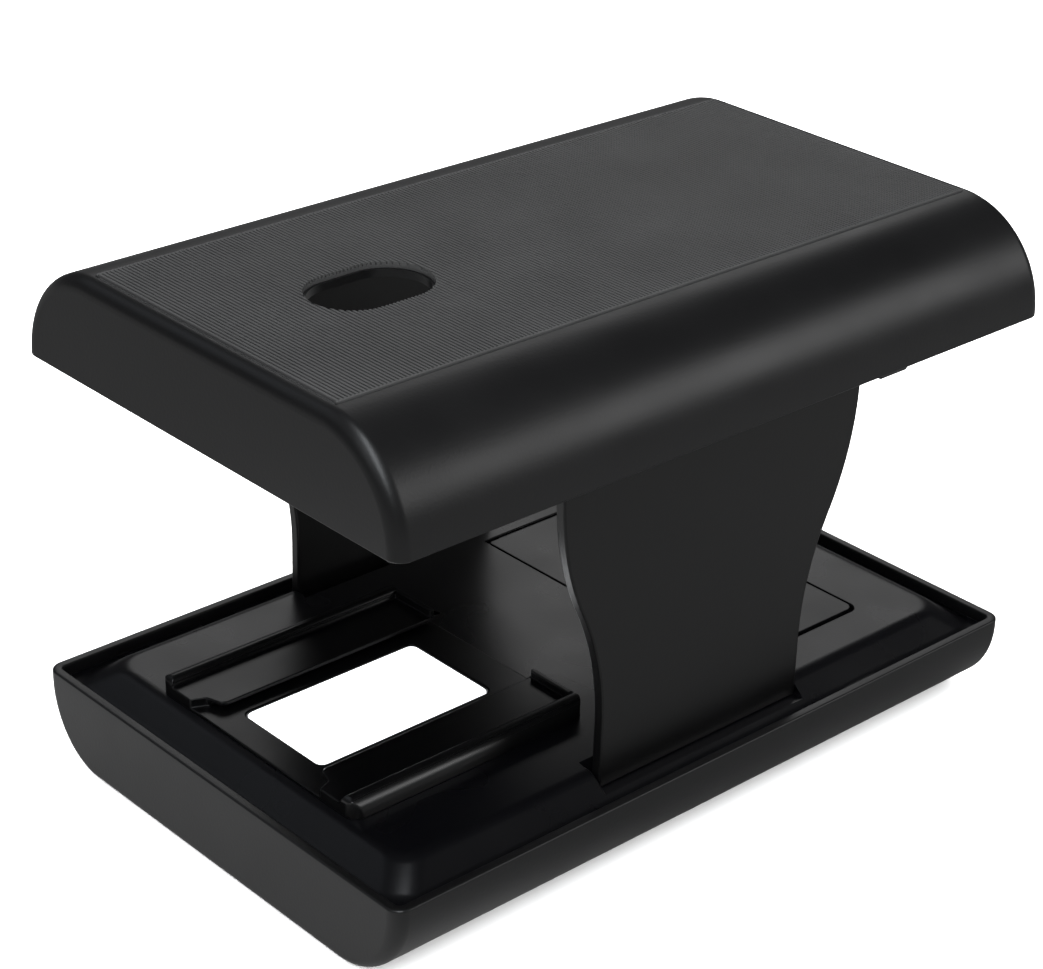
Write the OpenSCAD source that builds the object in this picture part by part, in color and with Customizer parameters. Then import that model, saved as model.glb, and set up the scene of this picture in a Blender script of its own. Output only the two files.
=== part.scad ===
// Folding film and slide scanner.
// A shallow lit base tray carries a film cradle. Two S-curved legs stand in
// notches in its deck and hold up a hollow cover, on which a telephone lies
// with its camera over an aperture. Folded, the legs lie inside the cover.
// Millimetres. +X is the long axis, the film enters at -X, and z = 0 is the
// surface that the rubber feet stand on.

/* [Body] */
// Length of the base tray
body_l = 160; // [156:1:170]
// Width of the base tray and the cover
body_w = 106; // [104:1:112]
// Height of the base tray from its underside to its rim
base_h = 17.4; // [17.2:0.1:19]
// Radius of the quarter-round along each long side of the base
base_side_r = 17; // [15:0.5:17]
// Wall thickness of the moulded shells
wall = 2; // [1.8:0.1:2.2]
// Fillet round the end faces of both shells
edge_r = 3; // [2.5:0.5:4]

/* [Cover] */
// Clear height between the base rim and the lower edge of the cover
open_gap = 66.7; // [66:0.1:72]
// Height of the cover
cover_h = 20.5; // [20.5:0.1:22]
// Radius of the quarter-round along each long side of the cover
cover_side_r = 20.2; // [19.5:0.1:20.2]
// How far each end of the cover oversails the base
cover_over = 0.5; // [0:0.1:1]
// Length of the ribbed grip mat
mat_l = 155; // [150:1:155]
// Width of the ribbed grip mat
mat_w = 68; // [60:1:68]
// Pitch of the ribs on the grip mat
rib_pitch = 1.2; // [1.2:0.1:3]
// Radius of the rounded ends of the camera aperture
aperture_r = 8; // [6:0.5:9]
// Distance between the two end centres of the camera aperture
aperture_run = 8; // [4:1:12]

/* [Legs] */
// Thickness of a leg panel
leg_t = 2.3; // [2:0.1:2.4]
// Half width of the narrow foot of a leg
foot_half = 26; // [22:0.5:27]
// Half width of the wide top of a leg
top_half = 37.5; // [36.9:0.1:37.5]
// Distance of each leg's middle plane from the centre line
leg_y = 44.35; // [44:0.05:44.4]
// Radius of the steel hinge pins
pin_r = 1.2; // [1:0.1:1.3]
// Running clearance of a hinge pin in its bracket
pin_gap = 0.05; // [0.03:0.01:0.08]

/* [Deck] */
// Length of the raised island between its top edges
deck_l = 142.4; // [140:0.2:142.6]
// Width of the raised island between its top edges
deck_w = 87.4; // [86.4:0.1:87.4]
// Height of the island above the rim
deck_top = 2; // [2:0.1:3]
// Depth of the trough between the island and the rim
trough = 4.5; // [4:0.1:5]

/* [Film cradle] */
// Side of the square recess that takes a mounted slide
slide_side = 51; // [50.5:0.1:52]
// Width of the channel that guides a film strip
film_w = 35.8; // [35.4:0.1:36.4]
// Length of the lit window
window_l = 41; // [38:0.5:41]
// Width of the lit window
window_w = 23; // [22:0.5:25]
// Place of the window's centre along the body
window_x = -43; // [-43:0.5:-42]

/* [Battery bay] */
// Length of the battery door across the body
door_w = 68.2; // [66:0.1:68.2]
// Width of the battery door along the body
door_l = 39.4; // [38:0.1:39.4]
// Place of the door's centre along the body
door_x = 37.2; // [36.5:0.1:37.5]
// Diameter of a battery cell
cell_d = 14.5; // [14:0.1:14.5]
// Length of a battery cell with its contact nub
cell_l = 50.5; // [49.5:0.1:50.5]

/* [Hidden] */
$fn = 72;

// Heights, all measured from the rim of the base tray
foot_h = 0.8;
rim_z = foot_h + base_h;
floor_z = -base_h + wall;
deck_t = 2;
deck_under = deck_top - deck_t;
trough_t = 1.6;
deck_base = -trough - trough_t;
socket_z = deck_top - 3;

// Wall of the island, as steps out from its top edge and heights: round the edge, down a
// straight slope, and round the foot. Its corners keep one radius all the way down.
island_r = 5.6;
island_lean = 50;
island_edge_r = 2;
island_foot_r = 2.4;
island_out = (deck_top + trough) / tan(island_lean) + island_foot_r * tan(island_lean / 2);
island_wall = concat(
    [for (a = [0, island_lean / 2, island_lean])
        [island_edge_r * (sin(a) - tan(island_lean / 2)), deck_top - island_edge_r * (1 - cos(a))]],
    [for (a = [island_lean, island_lean / 2, 0])
        [island_out - island_foot_r * sin(a), -trough + island_foot_r * (1 - cos(a))]]
);
hollow_in = 1;
hollow_low = 4.8;

// Socket of a leg: solid block in the island, and play at each end of its notch
socket_half = foot_half + 2;
socket_w = 7.5;
notch_gap = 0.3;
cover_l = body_l + 2 * cover_over;
cover_top = open_gap + cover_h;
ceiling_t = 2.4;
ceiling = cover_top - ceiling_t;
mat_sink = 0.9;
mat_base = 0.6;
mat_rib = 0.6;
mat_r = 1.5;
rib_w = 0.62;

// Leg outline: two equal arcs make the S between the foot and the top
s_low = 12;
s_high = 62;
s_mid = (s_low + s_high) / 2;
s_turn = 2 * atan((top_half - foot_half) / (s_high - s_low));
s_r = (s_high - s_low) / (2 * sin(s_turn));
front_pin_z = open_gap + 10.5;
pin_stack = 4.6;
back_pin_z = front_pin_z - pin_stack;
knuckle_r = 2.2;
neck_half = 36.5;
neck_h = 8;
pin_hold = 9;
ear_gap = 0.5;
ear_t = 3;
ear_r = 2.4;
ear_foot_y = [25, 32.8];
ear_foot_l = 7;
ear_foot_t = 1.6;

// Film cradle: its flat near end, its far end with the lips that stop a slide
cradle_x = [-70, -14];
cradle_near_r = 1.2;
cradle_far_r = 3;
cradle_half = slide_side / 2;
crest_w = 0.7;
crest_z = deck_top + 4;
shelf_z = deck_top + 2.3;
lip_under = deck_top + 1.5;
channel_z = deck_top + 0.6;
lip_half = 14.6;
shoulder_r = 3;
end_lip_t = 1.3;
// where the near ends of the film guides are cut back, from the end inwards
lead_in = [[-70, 19.5], [-67.1, 18.3], [-66.1, 15.2], [-65, lip_half]];
plug_x = [-65.4, -17.2];
plug_half = 15.3;
plug_r = 1;
plug_z = deck_top - 1.8;
fit = 0.2;
window_r = 1.5;
diffuser_flange = 2;
diffuser_z = deck_top + 0.5;
box_wall = 1.2;
box_top = deck_top - 3;
board_t = 1.6;
led_size = [3.5, 2.8, 1];

// Battery bay, door and cells
door_y = 1;
door_t = 1.4;
door_r = 2;
bead_room = 3.2;
door_gap = 0.25;
door_ledge = 1.5;
door_bead_r = 0.9;
door_pin_r = 0.55;
door_pin_l = 1.4;
thumb_r = 10;
thumb_sink = 1.3;
door_axis_y = door_y + door_w / 2 - door_bead_r;
door_axis_z = deck_top - door_bead_r;
bay_wall = 1.2;
bay_floor = 0.8;
bay_l = 33.6;
bay_w = 62;
plate_t = 0.4;
bay_end = bay_w / 2 - bay_wall - plate_t;
cell_nub_h = 1.3;
cell_z = floor_z + bay_floor + cell_d / 2 + 0.05;
cell_pitch = 15.2;
spring_wire_r = 0.4;
spring_turns = 5;

// Fasteners and feet
screw_x = 61;
screw_y = 33;
screw_r = 1.1;
screw_hole_r = 1.6;
screw_well_r = 3;
screw_sink = 2.4;
screw_l = 12;
screw_head = [2.7, 1.8];
post_top = deck_base;
post_r = 3.4;
boss_r = 3.2;
boss_bore = 4.5;
foot_x = 70;
foot_y = 28;
foot_r = 4.5;
bracket_screw_x = neck_half + ear_gap + ear_t + ear_foot_l / 2;
bracket_screw_y = 29;
bracket_screw_r = 1.1;
bracket_screw_head = [2.1, 1.2];

// Closing catches: tongues under two edges of the cover, each with a pad on the side wall
catch_x = 41.05;
catch_y = 50.5;
catch_w = 7.1;
catch_t = 1.2;
catch_h = 6.4;
catch_drop = 2.5;
catch_pad = [8.9, 5];
catch_slot = [9.2, 3.4];
catch_slot_y = 48.6;

// Control board and the switch at the far end
standoff_h = 1.4;
standoff_r = 2;
board_z = floor_z + standoff_h;
board_mid_x = 66;
board_size = [16, 30];
board_hole = [-2, 11];
switch_x = body_l / 2 - wall - fit;
switch_z = -9.9;
switch_on_y = 1.8;
switch_size = [7, 10, 6];
knob_size = [0.8, 4.4, 4.4];
stem_size = [3.6, 2.2];
recess_size = [13, 6.4];
recess_r = 1.5;
recess_t = 1.2;
slot_size = [8.6, 3.2];
slot_r = 0.8;

// Routes of the two leads, from the control board along the tub floor to the lamp board
lead_r = 0.6;
lead_route = [
    [59, -9, -11.6], [58, -9.1, -11.6], [56.8, -11, -12], [56.2, -18, -13.4],
    [56, -27, -14.7], [54, -33, -14.7], [48, -35.2, -14.7], [20, -35.2, -14.7],
    [0, -34.5, -14.7], [-10, -30, -14.7], [-14, -22, -14.7], [-15.5, -12, -14.7],
    [-17.5, -8.4, -14.7], [-19.9, -8, -14.7]
];
lead_pitch = 1.4;

plastic = [0.055, 0.055, 0.06];
rubber = [0.03, 0.03, 0.03];
steel = [0.75, 0.75, 0.77];

// ---------------------------------------------------------------- shared forms

// Flat rectangle with round corners, centred
module rounded_rect(l, w, r) {
    square([l - 2 * r, w], center = true);
    square([l, w - 2 * r], center = true);
    for (x = [-1, 1], y = [-1, 1])
        translate([x * (l / 2 - r), y * (w / 2 - r)]) circle(r);
}

// Rectangle hanging below y = 0 with its two lower corners round
module hanging_section(l, h, e) {
    translate([-l / 2, e - h]) square([l, h - e]);
    translate([e - l / 2, -h]) square([l - 2 * e, h]);
    for (s = [-1, 1]) translate([s * (l / 2 - e), e - h]) circle(e);
}

// Section that is turned through a quarter to make one rounded long side
module turned_section(r, l, e) {
    translate([0, -l / 2]) square([r - e, l]);
    translate([0, e - l / 2]) square([r, l - 2 * e]);
    for (s = [-1, 1]) translate([r - e, s * (l / 2 - e)]) circle(e);
}

// Solid with a flat face at z = 0 and quarter-round long sides below it
module round_block(l, w, h, r, e) {
    side_y = w / 2 - r;
    lip = h - r;
    rotate([90, 0, 0]) linear_extrude(2 * side_y, center = true) hanging_section(l, h, e);
    translate([0, 0, -lip]) linear_extrude(lip) rounded_rect(l, w, e);
    for (s = [0, 1]) mirror([0, s, 0])
        translate([0, side_y, -lip]) rotate([0, 90, 0])
            rotate_extrude(angle = 90) turned_section(r, l, e);
}

// The same solid, smaller by t all round, and open past the flat face
module round_hollow(l, w, h, r, e, t, floor_t) {
    over = 1;
    translate([0, 0, over])
        round_block(l - 2 * t, w - 2 * t, h - floor_t + over, r - t, max(e - t, 0.6));
}

// Slab between two rounded rectangles at different heights
module taper(z0, l0, w0, r0, z1, l1, w1, r1) {
    skin = 0.02;
    hull() {
        translate([0, 0, z0]) linear_extrude(skin) rounded_rect(l0, w0, r0, $fn = 32);
        translate([0, 0, z1 - skin]) linear_extrude(skin) rounded_rect(l1, w1, r1, $fn = 32);
    }
}

// Tube of radius r along a list of points, with its rings square to the path
function unit(v) = v / norm(v);
function along(p, i) = unit(p[min(i + 1, len(p) - 1)] - p[max(i - 1, 0)]);
function ring(p, i, r, n) =
    let (t = along(p, i), a = unit(cross(t, [0.01, 0.02, 1])), b = cross(t, a))
    [for (k = [0:n - 1]) p[i] + r * (cos(360 * k / n) * a + sin(360 * k / n) * b)];

module swept_tube(path, r, n) {
    rings = len(path);
    points = [for (i = [0:rings - 1]) each ring(path, i, r, n)];
    walls = [for (i = [0:rings - 2], k = [0:n - 1])
        let (m = (k + 1) % n)
        each [[i * n + k, i * n + m, (i + 1) * n + m],
              [i * n + k, (i + 1) * n + m, (i + 1) * n + k]]];
    start_cap = [for (k = [n - 1:-1:0]) k];
    end_cap = [for (k = [0:n - 1]) (rings - 1) * n + k];
    polyhedron(points, concat(walls, [start_cap, end_cap]));
}

// Anything that repeats at four corners
module at_corners(x, y) {
    for (sx = [-1, 1], sy = [-1, 1]) translate([sx * x, sy * y, 0]) children();
}

// ---------------------------------------------------------------- base

module base_tub() color(plastic) translate([0, 0, rim_z]) difference() {
    union() {
        difference() {
            round_block(body_l, body_w, base_h, base_side_r, edge_r);
            round_hollow(body_l, body_w, base_h, base_side_r, edge_r, wall, wall);
        }
        // screw posts, and the stand-offs under the control board
        at_corners(screw_x, screw_y)
            translate([0, 0, floor_z]) cylinder(h = post_top - floor_z, r = post_r);
        for (s = [-1, 1]) translate([board_mid_x + board_hole[0], s * board_hole[1], floor_z])
            cylinder(h = standoff_h, r = standoff_r);
    }
    at_corners(screw_x, screw_y) translate([0, 0, -base_h - 1]) {
        cylinder(h = base_h, r = screw_hole_r);
        cylinder(h = screw_sink + 1, r = screw_well_r);
    }
    // finger recess and slot for the switch in the far end wall
    translate([body_l / 2 - recess_t, 0, switch_z]) rotate([90, 0, 90])
        linear_extrude(recess_t + 1) rounded_rect(recess_size[0], recess_size[1], recess_r);
    translate([body_l / 2 - 2 * wall, 0, switch_z]) rotate([90, 0, 90])
        linear_extrude(2 * wall) rounded_rect(slot_size[0], slot_size[1], slot_r);
}

// Notch that a leg's foot stands in, with a lead-in on its inner edge
module foot_notch() {
    inner = leg_y - leg_t / 2 - fit;
    outer = body_w / 2;
    above = deck_top + 1;
    rotate([90, 0, 90]) linear_extrude(2 * (foot_half + notch_gap), center = true)
        polygon([
            [inner, socket_z], [outer, socket_z], [outer, above],
            [inner - (above - socket_z), above]
        ]);
}

// Slice of the island between two points of its wall
module island_taper(low, high) {
    taper(
        low[1], deck_l + 2 * low[0], deck_w + 2 * low[0], island_r,
        high[1], deck_l + 2 * high[0], deck_w + 2 * high[0], island_r
    );
}

module deck() color(plastic) translate([0, 0, rim_z]) difference() {
    union() {
        // trough floor, cut to the inside of the tub
        intersection() {
            round_hollow(body_l - fit, body_w - fit, base_h, base_side_r - fit / 2, edge_r, wall, wall);
            translate([-body_l / 2, -body_w / 2, deck_base]) cube([body_l, body_w, trough_t]);
        }
        // island: round its top edge, down its slope and round into the trough
        for (i = [1:len(island_wall) - 1]) island_taper(island_wall[i], island_wall[i - 1]);
    }
    difference() {
        taper(
            deck_base - 1, deck_l + 2 * hollow_low, deck_w + 2 * hollow_low, island_r,
            deck_under, deck_l - 2 * hollow_in, deck_w - 2 * hollow_in, island_r
        );
        // material kept inside the island: leg sockets and screw bosses
        for (s = [0, 1]) mirror([0, s, 0])
            translate([-socket_half, leg_y - socket_w, -trough])
                cube([2 * socket_half, 2 * socket_w, trough + deck_top]);
        at_corners(screw_x, screw_y)
            translate([0, 0, post_top]) cylinder(h = deck_top - post_top, r = boss_r);
    }
    for (s = [0, 1]) mirror([0, s, 0]) foot_notch();
    at_corners(screw_x, screw_y)
        translate([0, 0, post_top - 1]) cylinder(h = boss_bore + 1, r = screw_r);
    // cut-out for the film cradle's plug
    translate([(plug_x[0] + plug_x[1]) / 2, 0, -base_h]) linear_extrude(2 * base_h)
        rounded_rect(plug_x[1] - plug_x[0] + 2 * fit, 2 * (plug_half + fit), plug_r);
    // seat, mouth and hinge bores of the battery door
    translate([door_x, door_y, deck_top - door_t]) linear_extrude(2 * door_t)
        rounded_rect(door_l + 2 * door_gap, door_w + 2 * door_gap, door_r + door_gap);
    translate([door_x, door_y, -base_h]) linear_extrude(2 * base_h)
        rounded_rect(door_l - 2 * door_ledge, door_w - 2 * door_ledge, door_r);
    translate([door_x, door_axis_y - 0.5, deck_under + 1])
        cube([door_l + 2 * door_gap, bead_room, 2 * deck_t], center = true);
    translate([door_x, door_axis_y, door_axis_z]) rotate([0, 90, 0])
        cylinder(h = door_l + 2 * (door_pin_l + fit), r = door_pin_r + pin_gap, center = true);
    // slots that the closing catches snap into
    for (s = [0, 1]) rotate([0, 0, 180 * s])
        translate([catch_x - catch_slot[0] / 2, -catch_slot_y - catch_slot[1], -base_h])
            cube([catch_slot[0], catch_slot[1], base_h]);
}

// Cradle: section in Y and Z of one side
module cradle_side() {
    shoulder_y = cradle_half + crest_w;
    shoulder_z = crest_z - shoulder_r;
    intersection() {
        translate([shoulder_y, shoulder_z]) circle(shoulder_r);
        translate([shoulder_y - 1, shoulder_z]) square(2 * shoulder_r);
    }
    polygon([
        [0, deck_top], [shoulder_y + shoulder_r, deck_top],
        [shoulder_y + shoulder_r, shoulder_z + 0.01], [shoulder_y, shoulder_z + 0.01],
        [shoulder_y, crest_z], [cradle_half - 0.3, crest_z], [cradle_half - 1.2, shelf_z],
        [lip_half, shelf_z], [lip_half, lip_under], [film_w / 2, lip_under],
        [film_w / 2, channel_z], [0, channel_z]
    ]);
}

module film_holder() color(plastic) translate([0, 0, rim_z]) {
    mid = (cradle_x[0] + cradle_x[1]) / 2;
    len_x = cradle_x[1] - cradle_x[0];
    width = 2 * (cradle_half + crest_w + shoulder_r);
    difference() {
        union() {
            intersection() {
                translate([mid, 0, 0]) rotate([90, 0, 90]) linear_extrude(len_x, center = true)
                    for (s = [0, 1]) mirror([s, 0]) cradle_side();
                linear_extrude(20) {
                    translate([mid, 0]) rounded_rect(len_x, width, cradle_far_r);
                    translate([mid - len_x / 4, 0])
                        rounded_rect(len_x / 2, width, cradle_near_r);
                }
            }
            // plug that fills the cut-out in the deck
            translate([(plug_x[0] + plug_x[1]) / 2, 0, plug_z])
                linear_extrude(channel_z - plug_z)
                    rounded_rect(plug_x[1] - plug_x[0], 2 * plug_half, 1);
            // end lips that stop a mounted slide
            for (s = [0, 1]) mirror([0, s, 0])
                translate([cradle_x[1] - end_lip_t, lip_half, lip_under])
                    cube([end_lip_t, cradle_half - lip_half, crest_z - lip_under]);
        }
        translate([window_x, 0, -10]) linear_extrude(30) rounded_rect(window_l, window_w, window_r);
        for (s = [0, 1]) mirror([0, s, 0]) translate([0, 0, channel_z]) linear_extrude(20)
            polygon(concat([[cradle_x[0] - 1, lip_half - 1], [cradle_x[0] - 1, lead_in[0][1]]],
                lead_in, [[lead_in[3][0], lip_half - 1]]));
    }
}

module window_diffuser() color([0.95, 0.96, 0.98]) translate([window_x, 0, rim_z]) {
    translate([0, 0, plug_z - 0.1]) linear_extrude(diffuser_z - plug_z + 0.1)
        rounded_rect(window_l - fit, window_w - fit, window_r);
    translate([0, 0, box_top]) linear_extrude(plug_z - box_top)
        rounded_rect(window_l + 2 * diffuser_flange, window_w + 2 * diffuser_flange, window_r);
}

module light_box() color([0.93, 0.93, 0.92]) translate([window_x, 0, rim_z]) {
    l = window_l + 2 * diffuser_flange + 0.8;
    w = window_w + 2 * diffuser_flange + 0.8;
    low = floor_z + board_t;
    translate([0, 0, low]) linear_extrude(box_top - low) difference() {
        rounded_rect(l, w, 2);
        rounded_rect(l - 2 * box_wall, w - 2 * box_wall, 1);
    }
    // ears that are staked to the underside of the deck
    for (s = [-1, 1])
        translate([0, s * (w / 2 + 2.6), (deck_under + box_top) / 2 - 0.4])
            cube([8, 5.6, deck_under - box_top + 0.8], center = true);
}

module led_board() color([0.9, 0.9, 0.86]) translate([window_x, 0, rim_z + floor_z])
    linear_extrude(board_t) rounded_rect(window_l + 5.2, window_w + 4.4, 1);

module leds() color([0.98, 0.95, 0.75]) for (x = [-1:1], y = [-1, 1])
    translate([window_x + 13 * x, 6 * y, rim_z + floor_z + board_t + led_size[2] / 2])
        cube(led_size, center = true);

module battery_bay() color([0.1, 0.1, 0.1]) translate([door_x, door_y, rim_z]) difference() {
    translate([0, 0, floor_z]) linear_extrude(deck_under - floor_z) rounded_rect(bay_l, bay_w, 2);
    translate([0, 0, floor_z + bay_floor]) linear_extrude(30)
        rounded_rect(bay_l - 2 * bay_wall, bay_w - 2 * bay_wall, 1);
}

// One cell lies along Y with its nub at +Y; turn it round for the other
module cell() {
    body = cell_l - cell_nub_h;
    rotate([-90, 0, 0]) translate([0, 0, -body]) {
        rotate_extrude() union() {
            square([cell_d / 2 - 0.6, body]);
            translate([0, 0.6]) square([cell_d / 2, body - 1.2]);
            for (y = [0.6, body - 0.6]) translate([cell_d / 2 - 0.6, y]) circle(0.6);
        }
        translate([0, 0, body]) cylinder(h = cell_nub_h, r = 2.75);
    }
}

// The two cells lie in opposite directions
module battery_cells() color([0.2, 0.35, 0.6]) for (s = [0, 1])
    translate([door_x, door_y, rim_z + cell_z]) rotate([0, 0, 180 * s])
        translate([cell_pitch / 2, bay_end - cell_nub_h, 0]) cell();

// Conical coil between a contact plate and the flat end of a cell
module coil_spring() {
    gap = 2 * bay_end - cell_l;
    steps = 14;
    run = gap - 2 * spring_wire_r - 0.1;
    path = [for (i = [0:spring_turns * steps])
        let (u = i / (spring_turns * steps), a = 360 * i / steps, r = 4.6 - 1.4 * u)
        [r * cos(a), spring_wire_r + 0.05 + run * u, r * sin(a)]];
    swept_tube(path, spring_wire_r, 6);
}

module battery_springs() color(steel) for (s = [0, 1])
    translate([door_x, door_y, rim_z + cell_z]) rotate([0, 0, 180 * s])
        translate([cell_pitch / 2, -bay_end, 0]) coil_spring();

module contact_plates() color(steel) translate([door_x, door_y, rim_z + cell_z]) {
    for (s = [-1, 1])
        translate([s * cell_pitch / 2, bay_end + plate_t / 2, 0])
            cube([11, plate_t, 11], center = true);
    translate([0, -bay_end - plate_t / 2, 0]) cube([cell_pitch + 11, plate_t, 11], center = true);
}

module control_board() color([0.05, 0.3, 0.15]) translate([board_mid_x, 0, rim_z + board_z])
    linear_extrude(board_t) difference() {
        rounded_rect(board_size[0], board_size[1], 1);
        for (s = [-1, 1]) translate([board_hole[0], s * board_hole[1]]) circle(1);
    }

// Lamp driver, plug for the two leads, capacitor and three resistors
module board_parts() color([0.12, 0.12, 0.12]) translate([board_mid_x, 0, rim_z + board_z + board_t]) {
    driver = [4, 5, 1.6];
    resistor = [1.6, 0.8, 0.6];
    translate([-3.5, 0, driver[2] / 2]) cube(driver, center = true);
    translate([-7, -11.5, 0]) cube([4, 5, 3.8]);
    translate([2, -10, 0]) cylinder(h = 3, r = 2.4);
    for (i = [0:2]) translate([2, 6 + 2.5 * i, resistor[2] / 2]) cube(resistor, center = true);
}

// Body of the slide switch, with a channel in its face for the knob's stem
module switch_body() color([0.1, 0.1, 0.1]) translate([switch_x, 0, rim_z]) difference() {
    translate([-switch_size[0], -switch_size[1] / 2, board_z + board_t]) cube(switch_size);
    translate([0, 0, switch_z])
        cube([4, stem_size[0] + 2 * switch_on_y + 1.2, stem_size[1] + 2 * fit], center = true);
}

// Grip plate with three finger grooves, on a stem that reaches into the switch
module switch_knob() color([0.15, 0.15, 0.15]) translate([0, switch_on_y, rim_z + switch_z]) {
    plate_x = body_l / 2 - 0.3;
    stem_x = switch_x - 1.8;
    translate([(stem_x + plate_x) / 2 - 0.3, 0, 0])
        cube([plate_x - stem_x - 0.6, stem_size[0], stem_size[1]], center = true);
    difference() {
        translate([plate_x - knob_size[0] / 2, 0, 0]) cube(knob_size, center = true);
        for (y = [-1.2, 0, 1.2])
            translate([plate_x, y, 0]) cylinder(h = 10, r = 0.3, center = true, $fn = 24);
    }
}

module power_leads() color([0.5, 0.06, 0.05]) translate([0, 0, rim_z]) for (s = [0, 1])
    swept_tube([for (p = lead_route) p + [0, 0, s * lead_pitch]], lead_r, 8);

module deck_screws() color(steel)
    at_corners(screw_x, screw_y) translate([0, 0, foot_h + screw_sink]) {
        translate([0, 0, -screw_head[1]])
            cylinder(h = screw_head[1], r1 = screw_head[0] - 0.4, r2 = screw_head[0]);
        cylinder(h = screw_l, r = screw_r);
    }

module rubber_feet() color(rubber) at_corners(foot_x, foot_y) rotate_extrude() {
    square([foot_r - 0.3, foot_h]);
    translate([0, 0.3]) square([foot_r, foot_h - 0.3]);
    translate([foot_r - 0.3, 0.3]) circle(0.3);
}

module battery_door() color(plastic) translate([0, 0, rim_z]) {
    back = door_axis_y;
    front = door_y - door_w / 2;
    difference() {
        union() {
            intersection() {
                translate([door_x, door_y, deck_top - door_t]) linear_extrude(door_t)
                    rounded_rect(door_l, door_w, 2);
                translate([door_x - door_l / 2, front, -5]) cube([door_l, back - front, 10]);
            }
            translate([door_x, back, door_axis_z]) rotate([0, 90, 0])
                cylinder(h = door_l - 6, r = door_bead_r, center = true);
        }
        // thumb hollow at the free edge
        translate([door_x - 7, front - 3, deck_top + thumb_r - thumb_sink])
            sphere(r = thumb_r);
    }
    translate([door_x, back, door_axis_z]) rotate([0, 90, 0])
        cylinder(h = door_l + 2 * door_pin_l, r = door_pin_r, center = true);
    // tongue that grips the edge of the mouth
    translate([door_x - 4, front + door_ledge + fit, deck_top - door_t - 3.4])
        cube([8, 1, 3.4]);
}

// ---------------------------------------------------------------- cover

// Everything in the cover is drawn with its open face up and turned over
module turned_over() {
    translate([0, 0, rim_z + open_gap]) mirror([0, 0, 1]) children();
}

module aperture(r) {
    translate([window_x, 0]) square([aperture_run, 2 * r], center = true);
    for (s = [-1, 1]) translate([window_x + s * aperture_run / 2, 0]) circle(r);
}

module cover_shell() color(plastic) difference() {
    turned_over() difference() {
        round_block(cover_l, body_w, cover_h, cover_side_r, edge_r);
        round_hollow(cover_l, body_w, cover_h, cover_side_r, edge_r, wall, ceiling_t);
    }
    translate([0, 0, rim_z + cover_top - mat_sink]) linear_extrude(5)
        rounded_rect(mat_l, mat_w, mat_r);
    translate([0, 0, rim_z + open_gap]) linear_extrude(cover_h + 5) aperture(aperture_r);
}

// Comb section of the mat: a rib stands on the base at every pitch
module mat_section() {
    half = mat_l / 2 - 0.3;
    ribs = floor((2 * half - rib_w) / rib_pitch);
    start = -ribs * rib_pitch / 2;
    comb = [for (i = [0:ribs])
        let (c = start + i * rib_pitch)
        each [[c - rib_w / 2, mat_base], [c - rib_w / 2, mat_base + mat_rib],
              [c + rib_w / 2, mat_base + mat_rib], [c + rib_w / 2, mat_base]]];
    polygon(concat([[half, mat_base], [half, 0], [-half, 0], [-half, mat_base]], comb));
}

module grip_mat() color([0.12, 0.12, 0.125]) translate([0, 0, rim_z + cover_top - mat_sink])
    difference() {
        rotate([90, 0, 0]) linear_extrude(mat_w - 0.6, center = true) mat_section();
        translate([0, 0, -1]) linear_extrude(5) aperture(aperture_r + 0.6);
    }

// A springy tongue under the cover's edge, held by a pad on the side wall
module closing_catches() color(plastic) for (s = [0, 1]) rotate([0, 0, 180 * s])
    translate([catch_x, 0, rim_z + open_gap]) {
        difference() {
            translate([-catch_w / 2, -catch_y, -catch_drop]) cube([catch_w, catch_t, catch_h]);
            translate([0, -catch_y - 0.2, -catch_drop]) rotate([0, 90, 0])
                cylinder(h = catch_w + 2, r = catch_t / 2, center = true, $fn = 24);
        }
        intersection() {
            translate([-catch_pad[0] / 2, -body_w / 2 + 1, catch_h - catch_drop - 1.3])
                cube([catch_pad[0], body_w / 2 - 1 - catch_y + catch_t + 0.5, catch_pad[1]]);
            translate([-catch_x, 0, 0]) mirror([0, 0, 1])
                round_hollow(cover_l, body_w, cover_h, cover_side_r, edge_r, wall, ceiling_t);
        }
    }

// Ear and foot of one bracket, on the +Y side, with its bore at height z
module hinge_bracket(z) {
    for (s = [0, 1]) mirror([s, 0, 0]) difference() {
        union() {
            translate([neck_half + ear_gap, 0, 0]) rotate([90, 0, 90]) linear_extrude(ear_t) {
                translate([leg_y, z]) circle(ear_r);
                polygon([
                    [leg_y + 0.6, z + 2.3], [ear_foot_y[1], ceiling], [ear_foot_y[0], ceiling],
                    [leg_y - 2.2, z - 1], [leg_y, z - 1]
                ]);
            }
            translate([neck_half + ear_gap, ear_foot_y[0], ceiling - ear_foot_t])
                cube([ear_t + ear_foot_l, ear_foot_y[1] - ear_foot_y[0], ear_foot_t]);
        }
        translate([neck_half, leg_y, z]) rotate([0, 90, 0])
            cylinder(h = 2 * ear_t + ear_gap, r = pin_r + pin_gap);
        translate([bracket_screw_x, bracket_screw_y, ceiling - 2 * ear_foot_t])
            cylinder(h = 4 * ear_foot_t, r = bracket_screw_r);
    }
}

module front_hinge_brackets() color([0.13, 0.13, 0.14]) translate([0, 0, rim_z])
    mirror([0, 1, 0]) hinge_bracket(front_pin_z);

module back_hinge_brackets() color([0.13, 0.13, 0.14]) translate([0, 0, rim_z])
    hinge_bracket(back_pin_z);

module bracket_screws() color(steel) at_corners(bracket_screw_x, bracket_screw_y)
    translate([0, 0, rim_z + ceiling - ear_foot_t]) {
        translate([0, 0, -bracket_screw_head[1]])
            cylinder(h = bracket_screw_head[1], r = bracket_screw_head[0]);
        cylinder(h = ear_foot_t, r = bracket_screw_r);
    }

// ---------------------------------------------------------------- legs

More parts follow.
